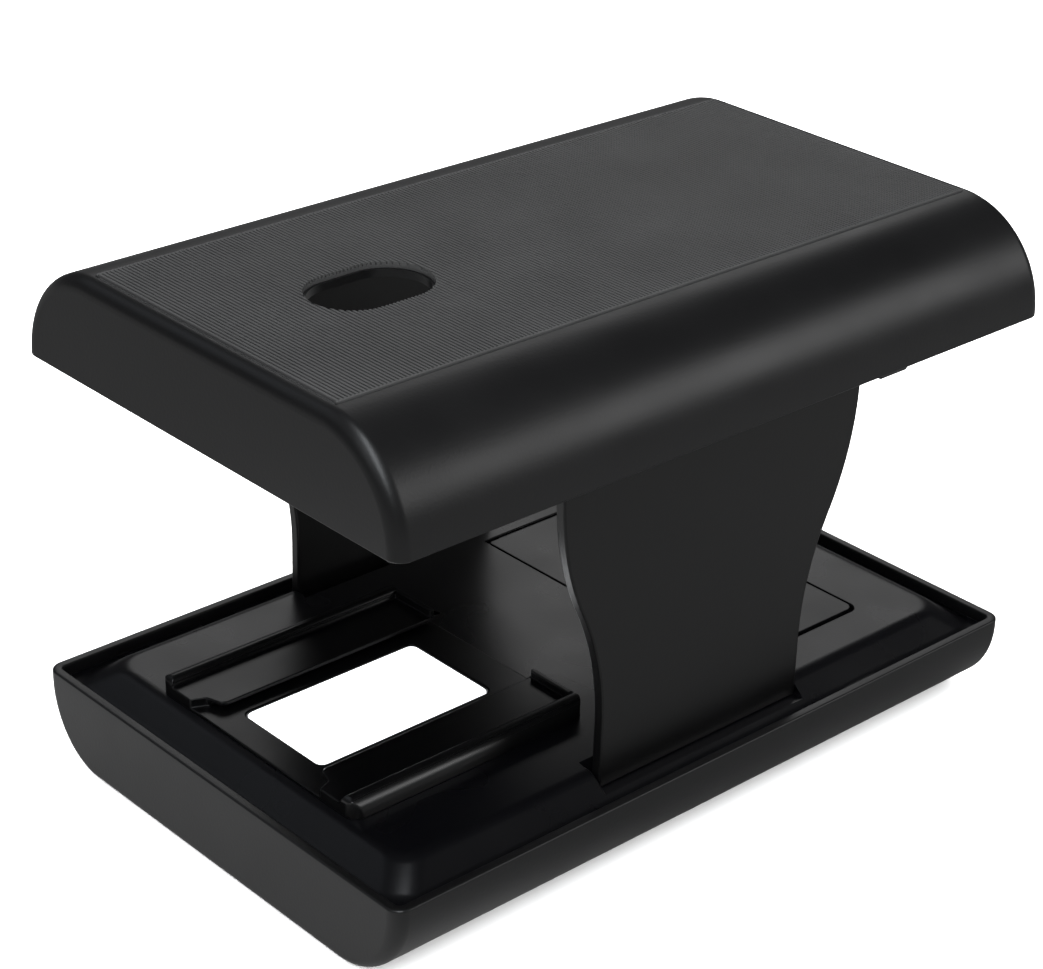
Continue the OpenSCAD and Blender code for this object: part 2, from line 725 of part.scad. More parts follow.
// Half width of a leg at height z between the foot and the top
function s_half(z) = z < s_mid
    ? foot_half + s_r - sqrt(pow(s_r, 2) - pow(z - s_low, 2))
    : top_half - s_r + sqrt(pow(s_r, 2) - pow(s_high - z, 2));

// Outline of a leg in X and Z, foot down: one side, and the same side mirrored
module leg_outline(pin_z) {
    steps = 28;
    side = concat(
        [[foot_half, socket_z]],
        [for (i = [0:steps]) let (z = s_low + (s_high - s_low) * i / steps) [s_half(z), z]],
        [[top_half, pin_z - neck_h], [neck_half, pin_z - neck_h], [neck_half, pin_z]]
    );
    polygon(concat(side, [for (i = [len(side) - 1:-1:0]) [-side[i][0], side[i][1]]]));
}

// One leg on the +Y side: the panel, and the round knuckle along its top
module leg(pin_z) translate([0, leg_y, rim_z]) difference() {
    union() {
        rotate([90, 0, 0]) linear_extrude(leg_t, center = true) leg_outline(pin_z);
        translate([0, 0, pin_z]) rotate([0, 90, 0])
            cylinder(h = 2 * neck_half, r = knuckle_r, center = true);
    }
    for (s = [-1, 1])
        translate([s * (neck_half - pin_hold / 2 + 1), 0, pin_z]) rotate([0, 90, 0])
            cylinder(h = pin_hold + 2, r = pin_r, center = true);
}

module leg_pins(pin_z) for (s = [-1, 1])
    translate([s * (neck_half - pin_hold), leg_y, rim_z + pin_z]) rotate([0, s * 90, 0])
        cylinder(h = pin_hold + ear_gap + ear_t, r = pin_r);

module front_leg() color(plastic) mirror([0, 1, 0]) leg(front_pin_z);

module front_leg_pins() color(steel) mirror([0, 1, 0]) leg_pins(front_pin_z);

module back_leg() color(plastic) leg(back_pin_z);

module back_leg_pins() color(steel) leg_pins(back_pin_z);

base_tub();
deck();
film_holder();
window_diffuser();
light_box();
led_board();
leds();
battery_bay();
battery_cells();
battery_springs();
contact_plates();
control_board();
board_parts();
switch_body();
power_leads();
deck_screws();
rubber_feet();
battery_door();
switch_knob();
cover_shell();
grip_mat();
closing_catches();
front_hinge_brackets();
back_hinge_brackets();
bracket_screws();
front_leg();
front_leg_pins();
back_leg();
back_leg_pins();
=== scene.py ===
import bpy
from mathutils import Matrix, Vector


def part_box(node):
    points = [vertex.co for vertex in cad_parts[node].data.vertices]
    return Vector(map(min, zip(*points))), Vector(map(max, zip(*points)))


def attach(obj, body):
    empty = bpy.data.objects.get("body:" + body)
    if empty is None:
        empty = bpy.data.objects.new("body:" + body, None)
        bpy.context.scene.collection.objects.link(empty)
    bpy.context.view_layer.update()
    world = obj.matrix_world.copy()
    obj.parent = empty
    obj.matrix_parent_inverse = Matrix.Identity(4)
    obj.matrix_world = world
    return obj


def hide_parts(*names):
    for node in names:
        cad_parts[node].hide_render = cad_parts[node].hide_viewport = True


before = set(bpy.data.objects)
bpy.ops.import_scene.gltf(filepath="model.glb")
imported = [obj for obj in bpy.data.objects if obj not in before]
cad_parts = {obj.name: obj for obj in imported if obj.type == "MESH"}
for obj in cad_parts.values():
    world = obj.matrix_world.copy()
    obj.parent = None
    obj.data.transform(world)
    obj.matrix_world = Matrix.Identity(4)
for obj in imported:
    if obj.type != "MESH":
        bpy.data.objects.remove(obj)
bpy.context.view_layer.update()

from math import atan, cos, pi, radians, sin, sqrt, tan

import bmesh
import bpy
from mathutils import Matrix, Vector

MM = 0.001


# ------------------------------------------------------------------ camera
# A long lens, a little above the tray and off its left front corner. It looks slightly down
# into the open stand, so that the deck, the window and the cover's mat are all in view.
LENS = 94.0
SENSOR = 36
AZIMUTH = radians(-42.87)
ELEVATION = radians(26.86)
ROLL = radians(1.78)
CAMERA_PLACE = Vector((-321.37, -340.38, 289.96)) * MM

camera_data = bpy.data.cameras.new("camera")
camera_data.sensor_width = SENSOR
camera_data.lens = LENS
camera = bpy.data.objects.new("camera", camera_data)
bpy.context.scene.collection.objects.link(camera)
bpy.context.scene.camera = camera

towards = Vector((sin(AZIMUTH) * cos(ELEVATION), -cos(AZIMUTH) * cos(ELEVATION), sin(ELEVATION)))
level = (-towards).cross(Vector((0, 0, 1))).normalized()
right = cos(ROLL) * level + sin(ROLL) * towards.cross(level)
turn = Matrix((right, towards.cross(right), towards)).transposed().to_4x4()
camera.matrix_world = Matrix.Translation(CAMERA_PLACE) @ turn


# ------------------------------------------------------------------ floor and light
# A pale matt sweep under an even white sky. What the black mouldings mirror is darker than the
# sky that lights the floor, as in a tent with a few soft boxes let into it.
FLOOR_SIDE = 8.0
FLOOR_WHITE = (0.96, 0.96, 0.96, 1)
FLOOR_MIRRORED, POOL_MIRRORED = 0.063, 0.155
POOL_PLACE = (-100 * MM, 20 * MM, 0)
POOL_NEAR, POOL_FAR = 50 * MM, 125 * MM
SKY_LIGHT = (3.2, 3.2, 3.2, 1)
SKY_MIRRORED = (0.045, 0.045, 0.0486, 1)
COOL = (0.92, 0.96, 1)
AIM = Vector((0, 0, 50 * MM))

bpy.context.scene.view_settings.view_transform = "Standard"

floor_mesh = bpy.data.meshes.new("floor")
reach = FLOOR_SIDE / 2
floor_corners = [(-reach, -reach, 0), (reach, -reach, 0), (reach, reach, 0), (-reach, reach, 0)]
floor_mesh.from_pydata(floor_corners, [], [(0, 1, 2, 3)])
floor = bpy.data.objects.new("floor", floor_mesh)
bpy.context.scene.collection.objects.link(floor)


def add_node(tree, kind, values=None):
    """Shader node of one kind in a node tree, with some of its sockets set"""
    node = tree.nodes.new("ShaderNode" + kind)
    for socket, value in (values or {}).items():
        node.inputs[socket].default_value = value
    return node


def link(tree, *pairs):
    """Links sockets of a node tree, given as pairs of an output and an input"""
    for output, socket in pairs:
        tree.links.new(output, socket)


def add_material(name, values):
    """Material with some of its shader's sockets set: gives it, its node tree and its shader"""
    material = bpy.data.materials.new(name)
    material.use_nodes = True
    shader = material.node_tree.nodes["Principled BSDF"]
    for socket, value in values.items():
        shader.inputs[socket].default_value = value
    return material, material.node_tree, shader


paper, paper_tree, paper_shader = add_material("pale paper", {
    "Base Color": FLOOR_WHITE, "Roughness": 0.9, "Specular IOR Level": 0.1})
floor_mesh.materials.append(paper)
# the paper that glossy faces mirror is dark, with one pool of light by the tray's near end
paper_place = add_node(paper_tree, "TexCoord")
pool_reach = add_node(paper_tree, "VectorMath", {1: POOL_PLACE})
pool_reach.operation = "DISTANCE"
pool_tone = add_node(paper_tree, "MapRange", {
    "From Min": POOL_NEAR, "From Max": POOL_FAR, "To Min": POOL_MIRRORED, "To Max": FLOOR_MIRRORED})
pool_tone.interpolation_type = "SMOOTHSTEP"
paper_lit = add_node(paper_tree, "BsdfDiffuse")
paper_glow = add_node(paper_tree, "Emission")
paper_mirrored = add_node(paper_tree, "AddShader")
paper_ray = add_node(paper_tree, "LightPath")
paper_mix = add_node(paper_tree, "MixShader")
link(paper_tree,
     (paper_place.outputs["Object"], pool_reach.inputs[0]),
     (pool_reach.outputs["Value"], pool_tone.inputs["Value"]),
     (pool_tone.outputs["Result"], paper_lit.inputs["Color"]),
     (pool_tone.outputs["Result"], paper_glow.inputs["Strength"]),
     (paper_lit.outputs[0], paper_mirrored.inputs[0]),
     (paper_glow.outputs[0], paper_mirrored.inputs[1]),
     (paper_ray.outputs["Is Glossy Ray"], paper_mix.inputs[0]),
     (paper_shader.outputs[0], paper_mix.inputs[1]),
     (paper_mirrored.outputs[0], paper_mix.inputs[2]),
     (paper_mix.outputs[0], paper_tree.nodes["Material Output"].inputs["Surface"]))

sky = bpy.data.worlds.new("sky")
bpy.context.scene.world = sky
sky.use_nodes = True
sky_tree = sky.node_tree
sky_tree.nodes.clear()
sky_out = add_node(sky_tree, "OutputWorld")
sky_mix = add_node(sky_tree, "MixShader")
sky_plain = add_node(sky_tree, "Background", {"Color": SKY_LIGHT})
sky_dark = add_node(sky_tree, "Background", {"Color": SKY_MIRRORED})
sky_ray = add_node(sky_tree, "LightPath")
link(sky_tree,
     (sky_ray.outputs["Is Glossy Ray"], sky_mix.inputs[0]),
     (sky_plain.outputs[0], sky_mix.inputs[1]),
     (sky_dark.outputs[0], sky_mix.inputs[2]),
     (sky_mix.outputs[0], sky_out.inputs[0]))


def soft_box(name, direction, distance, width, height, brightness, tint=(1, 1, 1)):
    """Rectangular light that faces the stand; its brightness is that of its own face"""
    data = bpy.data.lights.new(name, "AREA")
    data.shape = "RECTANGLE"
    data.size = width
    data.size_y = height
    data.color = tint
    data.energy = brightness * pi * width * height
    box = bpy.data.objects.new(name, data)
    bpy.context.scene.collection.objects.link(box)
    away = Vector(direction).normalized()
    box.location = AIM + away * distance
    box.rotation_euler = away.to_track_quat("Z", "Y").to_euler()


soft_box("front soft box", (0.607, -0.683, 0.415), 1.4, 0.9, 0.5, 2.4)
soft_box("back soft box", (0.607, 0.654, 0.495), 1.6, 1.0, 0.43, 1.45)
soft_box("left soft box", (-0.85, -0.1, 0.75), 1.6, 0.25, 1.0, 1.5, COOL)
soft_box("strip over the camera", (-0.32, -0.35, 0.88), 1.4, 0.3, 1.4, 8.7, COOL)
soft_box("cool fill box", (-0.34, 0.65, 0.68), 1.5, 0.9, 0.7, 0.3, (0.85, 0.92, 1))


# ------------------------------------------------------------------ base tray
# The shallow tray that everything else is screwed to: one black injection moulding with
# quarter-round long sides, flat ends, and a finger recess for the switch in its far end.
tray_low, tray_high = [Vector(corner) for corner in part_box("base_tub")]
TRAY_L, TRAY_W = tray_high.x - tray_low.x, tray_high.y - tray_low.y
TRAY_H = tray_high.z - tray_low.z
RIM = tray_high.z
WALL = 2 * MM
SIDE_R, END_R = 17 * MM, 3 * MM
# the sole is added under the floor, and the ends' fillet narrows to the low one as it goes under
SOLE, SKIN_R, LOW_R, TRAY_RIM_R = 0.5 * MM, 16 * MM, 1.2 * MM, 0.4 * MM
CORNERS = ((1, 1), (-1, 1), (-1, -1), (1, -1))
CORNER_STEPS, SIDE_STEPS, RIM_STEPS = 10, 24, 3
CREASE = radians(32)


def mould_grain():
    """Shader group: the fine spark-eroded grain of a mould and its slow, cloudy changes"""
    group = bpy.data.node_groups.new("mould grain", "ShaderNodeTree")
    for name, way in (("Grain Scale", "INPUT"), ("Cloud Scale", "INPUT"), ("Height", "OUTPUT"),
                      ("Cloud", "OUTPUT")):
        group.interface.new_socket(name, in_out=way, socket_type="NodeSocketFloat")
    values = group.nodes.new("NodeGroupInput")
    results = group.nodes.new("NodeGroupOutput")
    place = add_node(group, "TexCoord")
    pits = add_node(group, "TexNoise", {"Detail": 3, "Roughness": 0.6})
    cloud = add_node(group, "TexNoise", {"Detail": 2})
    link(group,
         (place.outputs["Object"], pits.inputs["Vector"]),
         (values.outputs["Grain Scale"], pits.inputs["Scale"]),
         (pits.outputs["Fac"], results.inputs["Height"]),
         (place.outputs["Object"], cloud.inputs["Vector"]),
         (values.outputs["Cloud Scale"], cloud.inputs["Scale"]),
         (cloud.outputs["Fac"], results.inputs["Cloud"]))
    return group


GRAIN = mould_grain()


def grained(name, values, gloss_low, gloss_high, grain, cloud, depth):
    """Material with a fine grain and a gloss that drifts; gives its tree, shader and cloud too"""
    material, tree, shader = add_material(name, values)
    surface = add_node(tree, "Group")
    surface.node_tree = GRAIN
    surface.inputs["Grain Scale"].default_value = grain
    surface.inputs["Cloud Scale"].default_value = cloud
    gloss = add_node(tree, "MapRange", {
        "From Min": 0.3, "From Max": 0.7, "To Min": gloss_low, "To Max": gloss_high})
    relief = add_node(tree, "Bump", {"Strength": 1, "Distance": depth * MM})
    link(tree,
         (surface.outputs["Cloud"], gloss.inputs["Value"]),
         (gloss.outputs["Result"], shader.inputs["Roughness"]),
         (surface.outputs["Height"], relief.inputs["Height"]),
         (relief.outputs["Normal"], shader.inputs["Normal"]))
    return material, tree, shader, surface.outputs["Cloud"]


def moulded(name, colour, roughness, grain=1600, depth=0.02, vary=0.15, specular=0.5, spread=0.06):
    """Moulded plastic: its colour and its gloss both drift a little, over a fine grain"""
    material, tree, shader, cloud = grained(name, {"Specular IOR Level": specular}, roughness - spread / 2,
                                            roughness + spread / 2, grain, 55, depth)
    tone = add_node(tree, "Mix")
    tone.data_type = "RGBA"
    tone.inputs["A"].default_value = (*[c * (1 - vary) for c in colour], 1)
    tone.inputs["B"].default_value = (*[c * (1 + vary) for c in colour], 1)
    link(tree, (cloud, tone.inputs["Factor"]), (tone.outputs["Result"], shader.inputs["Base Color"]))
    return material


SHELL_BLACK = moulded("satin black shell", (0.002, 0.002, 0.0022), 0.36)


def tidy_mesh(piece):
    """Outward faces, no doubled points, and a crease wherever the surface really turns"""
    work = bmesh.new()
    work.from_mesh(piece.data)
    bmesh.ops.remove_doubles(work, verts=work.verts, dist=0.001 * MM)
    bmesh.ops.recalc_face_normals(work, faces=work.faces)
    work.to_mesh(piece.data)
    work.free()
    piece.data.shade_smooth()
    piece.data.set_sharp_from_angle(angle=CREASE)


def make_piece(name, points, faces, material=SHELL_BLACK):
    """Closed mesh from its points and faces, smooth except across its sharp edges"""
    mesh = bpy.data.meshes.new(name)
    mesh.from_pydata(points, [], faces)
    mesh.materials.append(material)
    piece = bpy.data.objects.new(name, mesh)
    bpy.context.scene.collection.objects.link(piece)
    tidy_mesh(piece)
    return piece


def carve(piece, cutter, operation="DIFFERENCE"):
    """Cuts, joins or keeps the cutter's shape and uses it up; the piece's own finish stays"""
    step = piece.modifiers.new("carve", "BOOLEAN")
    step.operation = operation
    step.solver = "EXACT"
    step.object = cutter
    bpy.context.view_layer.update()
    result = bpy.data.meshes.new_from_object(
        piece.evaluated_get(bpy.context.evaluated_depsgraph_get()))
    piece.modifiers.remove(step)
    spare = piece.data
    piece.data = result
    result.name = piece.name
    bpy.data.meshes.remove(spare)
    bpy.data.objects.remove(cutter)
    tidy_mesh(piece)


def keep_flat(piece):
    """Shades flat faces flat, right up to the rounded edges beside them"""
    piece.modifiers.new("flat faces", "WEIGHTED_NORMAL").keep_sharp = True


def corner_loop(place):
    """Closed loop through four corners; place(t) gives x, y and z at t, from end to side"""
    loop = []
    for k, (sx, sy) in enumerate(CORNERS):
        for i in range(CORNER_STEPS + 1):
            t = i / CORNER_STEPS
            x, y, z = place(1 - t if k % 2 == 0 else t)
            loop.append((sx * x, sy * y, z))
    return loop


def plan_loop(length, width, r, z):
    """Level loop: a rectangle with round corners at height z"""
    def place(t):
        bend = t * pi / 2
        return (length / 2 - r + r * sin(bend), width / 2 - r + r * cos(bend), z)
    return corner_loop(place)


def side_loop(length, width, z, side_r, end_r, low_r, angle):
    """Loop at one angle of the quarter-round sides; the ends' fillet goes from end_r to low_r"""
    fillet = end_r + (low_r - end_r) * sin(angle) ** 2

    def place(t):
        in_x = fillet * sin(t * pi / 2)
        r = side_r - fillet * (1 - cos(t * pi / 2))
        return (length / 2 - fillet + in_x, width / 2 - side_r + r * cos(angle), z - r * sin(angle))
    return corner_loop(place)


def loops_to_solid(name, loops, material=SHELL_BLACK):
    """Solid from loops of equal count, the first and last of them closed across the width"""
    n = len(loops[0])
    points = [p for loop in loops for p in loop]
    faces = []
    for k in range(len(loops) - 1):
        for i in range(n):
            j = (i + 1) % n
            faces.append((k * n + i, k * n + j, (k + 1) * n + j, (k + 1) * n + i))
    for start in (0, (len(loops) - 1) * n):
        for i in range(n // 2 - 1):
            faces.append((start + i, start + i + 1, start + n - 2 - i, start + n - 1 - i))
    return make_piece(name, points, faces, material)


def stacked(name, length, width, r, levels, material=SHELL_BLACK, share=0):
    """Solid of level rectangles, each given by its growth and its height; the corners' radius
    takes a share of the growth"""
    return loops_to_solid(name, [plan_loop(length + growth, width + growth, r + share * growth, z)
                                 for growth, z in levels], material)


def open_tray(name, size, skin_r, hollow_r, floor_t, rim_r, low_r):
    """Moulded tray, open at its top, z = 0: outer skin, rounded rim, inner skin"""
    length, width, depth = size
    in_l, in_w, in_r = length - 2 * WALL, width - 2 * WALL, END_R - WALL
    turns = [pi / 2 * i / SIDE_STEPS for i in range(SIDE_STEPS + 1)]
    rim = [(rim_r * (1 - cos(a)), rim_r * (sin(a) - 1))
           for a in [pi / 2 * i / RIM_STEPS for i in range(RIM_STEPS + 1)]]
    loops = [side_loop(length, width, skin_r - depth, skin_r, END_R, low_r, a) for a in reversed(turns)]
    loops += [plan_loop(length - 2 * inset, width - 2 * inset, END_R - inset, z) for inset, z in rim]
    loops += [plan_loop(in_l + 2 * inset, in_w + 2 * inset, in_r + inset, z) for inset, z in reversed(rim)]
    loops += [side_loop(in_l, in_w, floor_t + hollow_r - depth, hollow_r, in_r, in_r, a) for a in turns]
    return loops_to_solid(name, loops)


def lathe(name, centre, profile, axis="Z", material=SHELL_BLACK, steps=32):
    """Solid turned from (radius, height) points; its first and last points lie on the axis"""
    tilt = {"X": Matrix.Rotation(pi / 2, 3, "Y"), "Y": Matrix.Rotation(-pi / 2, 3, "X"),
            "Z": Matrix.Identity(3)}[axis]
    points, faces = [], []
    inner = profile[1:-1]
    for r, z in inner:
        for i in range(steps):
            a = 2 * pi * i / steps
            points.append(tilt @ Vector((r * cos(a), r * sin(a), z)))
    for k in range(len(inner) - 1):
        for i in range(steps):
            j = (i + 1) % steps
            faces.append((k * steps + i, k * steps + j, (k + 1) * steps + j, (k + 1) * steps + i))
    for end, first in ((profile[0], 0), (profile[-1], (len(inner) - 1) * steps)):
        points.append(tilt @ Vector((0, 0, end[1])))
        faces += [(first + i, first + (i + 1) % steps, len(points) - 1) for i in range(steps)]
    points = [tuple(Vector(centre) + p) for p in points]
    return make_piece(name, points, faces, material)


def rod(centre, r, low, high, axis="Z"):
    """Round bar along an axis, for a bore, a post or a boss"""
    return lathe("rod", centre, [(0, low), (r, low), (r, high), (0, high)], axis)


def move(piece, x=0, y=0, z=0):
    """Shifts a piece's points, so that its place is in its mesh"""
    piece.data.transform(Matrix.Translation((x, y, z)))


def stands_for(piece, node, body):
    """The piece takes a node's place, hiding the node, and rides on its body"""
    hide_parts(node)
    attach(piece, body)


SCREW_X, SCREW_Y = 61 * MM, 33 * MM
SCREW_PLACES = [(sx * SCREW_X, sy * SCREW_Y) for sx in (-1, 1) for sy in (-1, 1)]
DECK_UNDER = RIM - 6.1 * MM
POST_R, WELL_R, HOLE_R, WELL_H = 3.4 * MM, 3 * MM, 1.6 * MM, 2.4 * MM
WELL_LEAD_IN = 0.4 * MM
BOARD_HOLES = [(64 * MM, -11 * MM), (64 * MM, 11 * MM)]
STANDOFF_R, STANDOFF_H = 2 * MM, 1.4 * MM
# posts and stand-offs are rooted in the middle of the floor's thickness
FLOOR, ROOT = tray_low.z + WALL, tray_low.z + WALL / 2
tray = open_tray("base_tray", (TRAY_L, TRAY_W, TRAY_H + SOLE), SKIN_R, SIDE_R - WALL, WALL + SOLE,
                 TRAY_RIM_R, LOW_R)
move(tray, z=RIM)
for x, y in SCREW_PLACES:
    carve(tray, rod((x, y, 0), POST_R, ROOT, DECK_UNDER), "UNION")
for x, y in BOARD_HOLES:
    carve(tray, rod((x, y, 0), STANDOFF_R, ROOT, FLOOR + STANDOFF_H), "UNION")
for x, y in SCREW_PLACES:
    carve(tray, lathe("well", (x, y, tray_low.z), [
        (0, -2 * SOLE), (WELL_R + WELL_LEAD_IN, -2 * SOLE), (WELL_R + WELL_LEAD_IN, -SOLE),
        (WELL_R, 0.3 * MM - SOLE), (WELL_R, WELL_H), (HOLE_R, WELL_H), (HOLE_R, TRAY_H), (0, TRAY_H)]))
SWITCH_Z = 8.3 * MM
RECESS_L, RECESS_W, RECESS_R, RECESS_T = 13 * MM, 6.4 * MM, 1.5 * MM, 1.2 * MM
SLOT_L, SLOT_W, SLOT_R = 8.6 * MM, 3.2 * MM, 0.8 * MM
recess = stacked("recess", RECESS_W, RECESS_L, RECESS_R,
                 ((0, 0), (0, RECESS_T - 0.3 * MM), (0.8 * MM, RECESS_T + 0.1 * MM)))
slot_cut = stacked("slot", SLOT_W, SLOT_L, SLOT_R, ((0, 0), (0, 2 * WALL)))
for cut, depth in ((recess, RECESS_T), (slot_cut, 2 * WALL)):
    cut.data.transform(Matrix.Rotation(pi / 2, 4, "Y"))
    move(cut, TRAY_L / 2 - depth, 0, SWITCH_Z)
    carve(tray, cut)
keep_flat(tray)
stands_for(tray, "base_tub", "base")


# ------------------------------------------------------------------ rubber feet
# Four soft round pads glued under the tray. Each has a shallow dish in its sole, so that it
# grips the table with its outer ring.
foot_low, foot_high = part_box("rubber_feet")
FOOT_X, FOOT_Y, FOOT_R = 70 * MM, 28 * MM, 4.5 * MM
FOOT_H = foot_high[2] - foot_low[2]
DISH_T = 0.15 * MM


def rubber(name, colour, roughness):
    """Soft rubber: nearly matt, with a fine skin and a little bloom"""
    return moulded(name, colour, roughness, grain=1500, depth=0.03, vary=0.2, specular=0.4, spread=0.12)


def joined(name, parts):
    """One piece of several separate solids, each of which keeps its materials"""
    finishes = []
    work = bmesh.new()
    for part in parts:
        places = []
        for material in part.data.materials:
            if material not in finishes:
                finishes.append(material)
            places.append(finishes.index(material))
        first = len(work.faces)
        work.from_mesh(part.data)
        work.faces.ensure_lookup_table()
        for face in work.faces[first:]:
            face.material_index = places[face.material_index]
    mesh = bpy.data.meshes.new(name)
    for material in finishes:
        mesh.materials.append(material)
    work.to_mesh(mesh)
    work.free()
    for part in parts:
        bpy.data.objects.remove(part)
    piece = bpy.data.objects.new(name, mesh)
    bpy.context.scene.collection.objects.link(piece)
    tidy_mesh(piece)
    return piece


def repeated(name, piece, places):
    """One piece of equal solids, with a copy of the first at each place"""
    copies = []
    for place in places:
        copy = bpy.data.objects.new(name, piece.data.copy())
        bpy.context.scene.collection.objects.link(copy)
        copy.data.transform(place if isinstance(place, Matrix) else Matrix.Translation(place))
        copies.append(copy)
    bpy.data.objects.remove(piece)
    return joined(name, copies)


FOOT_RUBBER = rubber("black foot rubber", (0.007, 0.007, 0.007), 0.7)
foot = lathe("foot", (0, 0, 0), [
    (0, DISH_T), (FOOT_R - 1.1 * MM, DISH_T), (FOOT_R - 0.9 * MM, 0), (FOOT_R - 0.3 * MM, 0),
    (FOOT_R - 0.09 * MM, 0.09 * MM), (FOOT_R, 0.3 * MM), (FOOT_R, FOOT_H), (0, FOOT_H)],
    material=FOOT_RUBBER, steps=40)
feet = repeated("rubber_pads", foot, [(sx * FOOT_X, sy * FOOT_Y, 0) for sx, sy in CORNERS])
stands_for(feet, "rubber_feet", "base")


# ------------------------------------------------------------------ deck
# The tray's lid: a raised island whose sides slope into a trough all round. One satin black
# moulding, screwed from below, with sockets for the legs and a seat for the battery door.
DECK_BLACK = moulded("satin black deck", (0.001, 0.001, 0.0015), 0.29, 2200, 0.012, specular=0.34)
DECK_L, DECK_W, DECK_R = 142.4 * MM, 87.4 * MM, 5.6 * MM
DECK_TOP, DECK_T = RIM + 2 * MM, 2 * MM
TROUGH, TROUGH_T = RIM - 2.2 * MM, 1.6 * MM
LEAN, LEAN_STEPS = radians(37), 6
EDGE_R, SWEEP_R = 4.5 * MM, 3.6 * MM
ISLAND_OUT = (DECK_TOP - TROUGH) / tan(LEAN) + SWEEP_R * tan(LEAN / 2)
HOLLOW_IN, HOLLOW_RUN = 1 * MM, 0.8
LEG_Y, LEG_T, LEG_FIT = 44.35 * MM, 2.3 * MM, 0.2 * MM
LEG_FOOT_HALF = 26 * MM
SOCKET = DECK_TOP - 3 * MM
ABOVE = DECK_TOP + 1 * MM
THROUGH = ((0, 0), (0, 2 * RIM))


def island_loop(out, z):
    """Loop round the island, set out from its top edge; its corners keep one radius"""
    return plan_loop(DECK_L + 2 * out, DECK_W + 2 * out, DECK_R, z)


def tray_inside(z):
    """Loop round the inside of the tray at a height, a hair smaller"""
    play = 0.1 * MM
    r = SIDE_R - WALL - play
    drop = tray_low.z + SIDE_R - z
    width = TRAY_W - 2 * SIDE_R + 2 * sqrt(r ** 2 - drop ** 2)
    return plan_loop(TRAY_L - 2 * WALL - 2 * play, width, 1 * MM, z)


bends = [LEAN * i / LEAN_STEPS for i in range(LEAN_STEPS + 1)]
ceiling = DECK_TOP - DECK_T
deck_loops = [island_loop(EDGE_R * (sin(a) - tan(LEAN / 2)), DECK_TOP - EDGE_R * (1 - cos(a)))
              for a in bends]
deck_loops += [island_loop(ISLAND_OUT - SWEEP_R * sin(a), TROUGH + SWEEP_R * (1 - cos(a)))
               for a in reversed(bends)]
deck_loops += [tray_inside(TROUGH), tray_inside(TROUGH - TROUGH_T)]
deck_loops += [island_loop((ceiling - z) * HOLLOW_RUN - HOLLOW_IN, z) for z in (TROUGH - TROUGH_T, ceiling)]
deck = loops_to_solid("deck_moulding", deck_loops, DECK_BLACK)


def prism(name, outline, low, high, axis="X", material=SHELL_BLACK):
    """Solid with a flat outline, run from low to high along an axis"""
    n = len(outline)
    place = {"X": lambda a, p: (a, p[0], p[1]), "Y": lambda a, p: (p[0], a, p[1]),
             "Z": lambda a, p: (p[0], p[1], a)}[axis]
    points = [place(a, p) for a in (low, high) for p in outline]
    faces = [tuple(range(n)), tuple(range(2 * n - 1, n - 1, -1))]
    faces += [(i, (i + 1) % n, n + (i + 1) % n, n + i) for i in range(n)]
    return make_piece(name, points, faces, material)


def block(name, low, high):
    """Plain box between two corners, for cutting or joining"""
    (x0, y0, z0), (x1, y1, z1) = low, high
    points = [(x, y, z) for x in (x0, x1) for y in (y0, y1) for z in (z0, z1)]
    faces = [(0, 1, 3, 2), (4, 6, 7, 5), (0, 4, 5, 1), (2, 3, 7, 6), (0, 2, 6, 4), (1, 5, 7, 3)]
    return make_piece(name, points, faces)


def soften(piece, width, segments=2, angle=50):
    """Rounds every edge that turns by more than the angle, and keeps flat faces flat"""
    edge = piece.modifiers.new("rounded edges", "BEVEL")
    edge.width = width
    edge.segments = segments
    edge.limit_method = "ANGLE"
    edge.angle_limit = radians(angle)
    edge.use_clamp_overlap = False
    edge.miter_outer = "MITER_ARC"
    keep_flat(piece)


# a socket for each leg's foot: a thick step under the island's slope, with a notch cut into it;
# what is added below the deck ends in the middle of its skin
SKIN_MIDDLE = DECK_TOP - DECK_T / 2
SOCKET_HALF, NOTCH_HALF = LEG_FOOT_HALF + 2 * MM, LEG_FOOT_HALF + 0.3 * MM
SOCKET_UNDER, SOCKET_BACK = SOCKET - 3 * MM, LEG_Y - 7.5 * MM
SLOPE_LOW, SLOPE_HIGH = LEG_Y + 2.85 * MM, LEG_Y - 0.85 * MM
NOTCH_Y = LEG_Y - LEG_T / 2 - LEG_FIT
step = [(SOCKET_BACK, SOCKET_UNDER), (SLOPE_LOW, SOCKET_UNDER), (SLOPE_HIGH, SKIN_MIDDLE),
        (SOCKET_BACK, SKIN_MIDDLE)]
notch = [(NOTCH_Y, SOCKET), (TRAY_W / 2, SOCKET), (TRAY_W / 2, ABOVE), (NOTCH_Y - (ABOVE - SOCKET), ABOVE)]
for s in (-1, 1):
    carve(deck, prism("socket", [(s * y, z) for y, z in step], -SOCKET_HALF, SOCKET_HALF), "UNION")
BOSS_R, PILOT_R, PILOT_H = 3.2 * MM, 1.1 * MM, 4.5 * MM
for x, y in SCREW_PLACES:
    carve(deck, rod((x, y, 0), BOSS_R, DECK_UNDER, SKIN_MIDDLE), "UNION")
for s in (-1, 1):
    carve(deck, prism("notch", [(s * y, z) for y, z in notch], -NOTCH_HALF, NOTCH_HALF))
for x, y in SCREW_PLACES:
    carve(deck, rod((x, y, 0), PILOT_R, DECK_UNDER - 1 * MM, DECK_UNDER + PILOT_H))
PLUG_X0, PLUG_X1, PLUG_W, PLUG_R = -65.4 * MM, -17.2 * MM, 30.6 * MM, 1 * MM
PLUG_X, PLUG_L, PLUG_PLAY = (PLUG_X0 + PLUG_X1) / 2, PLUG_X1 - PLUG_X0, 0.4 * MM
opening = stacked("opening", PLUG_L + PLUG_PLAY, PLUG_W + PLUG_PLAY, PLUG_R, THROUGH)
move(opening, PLUG_X)
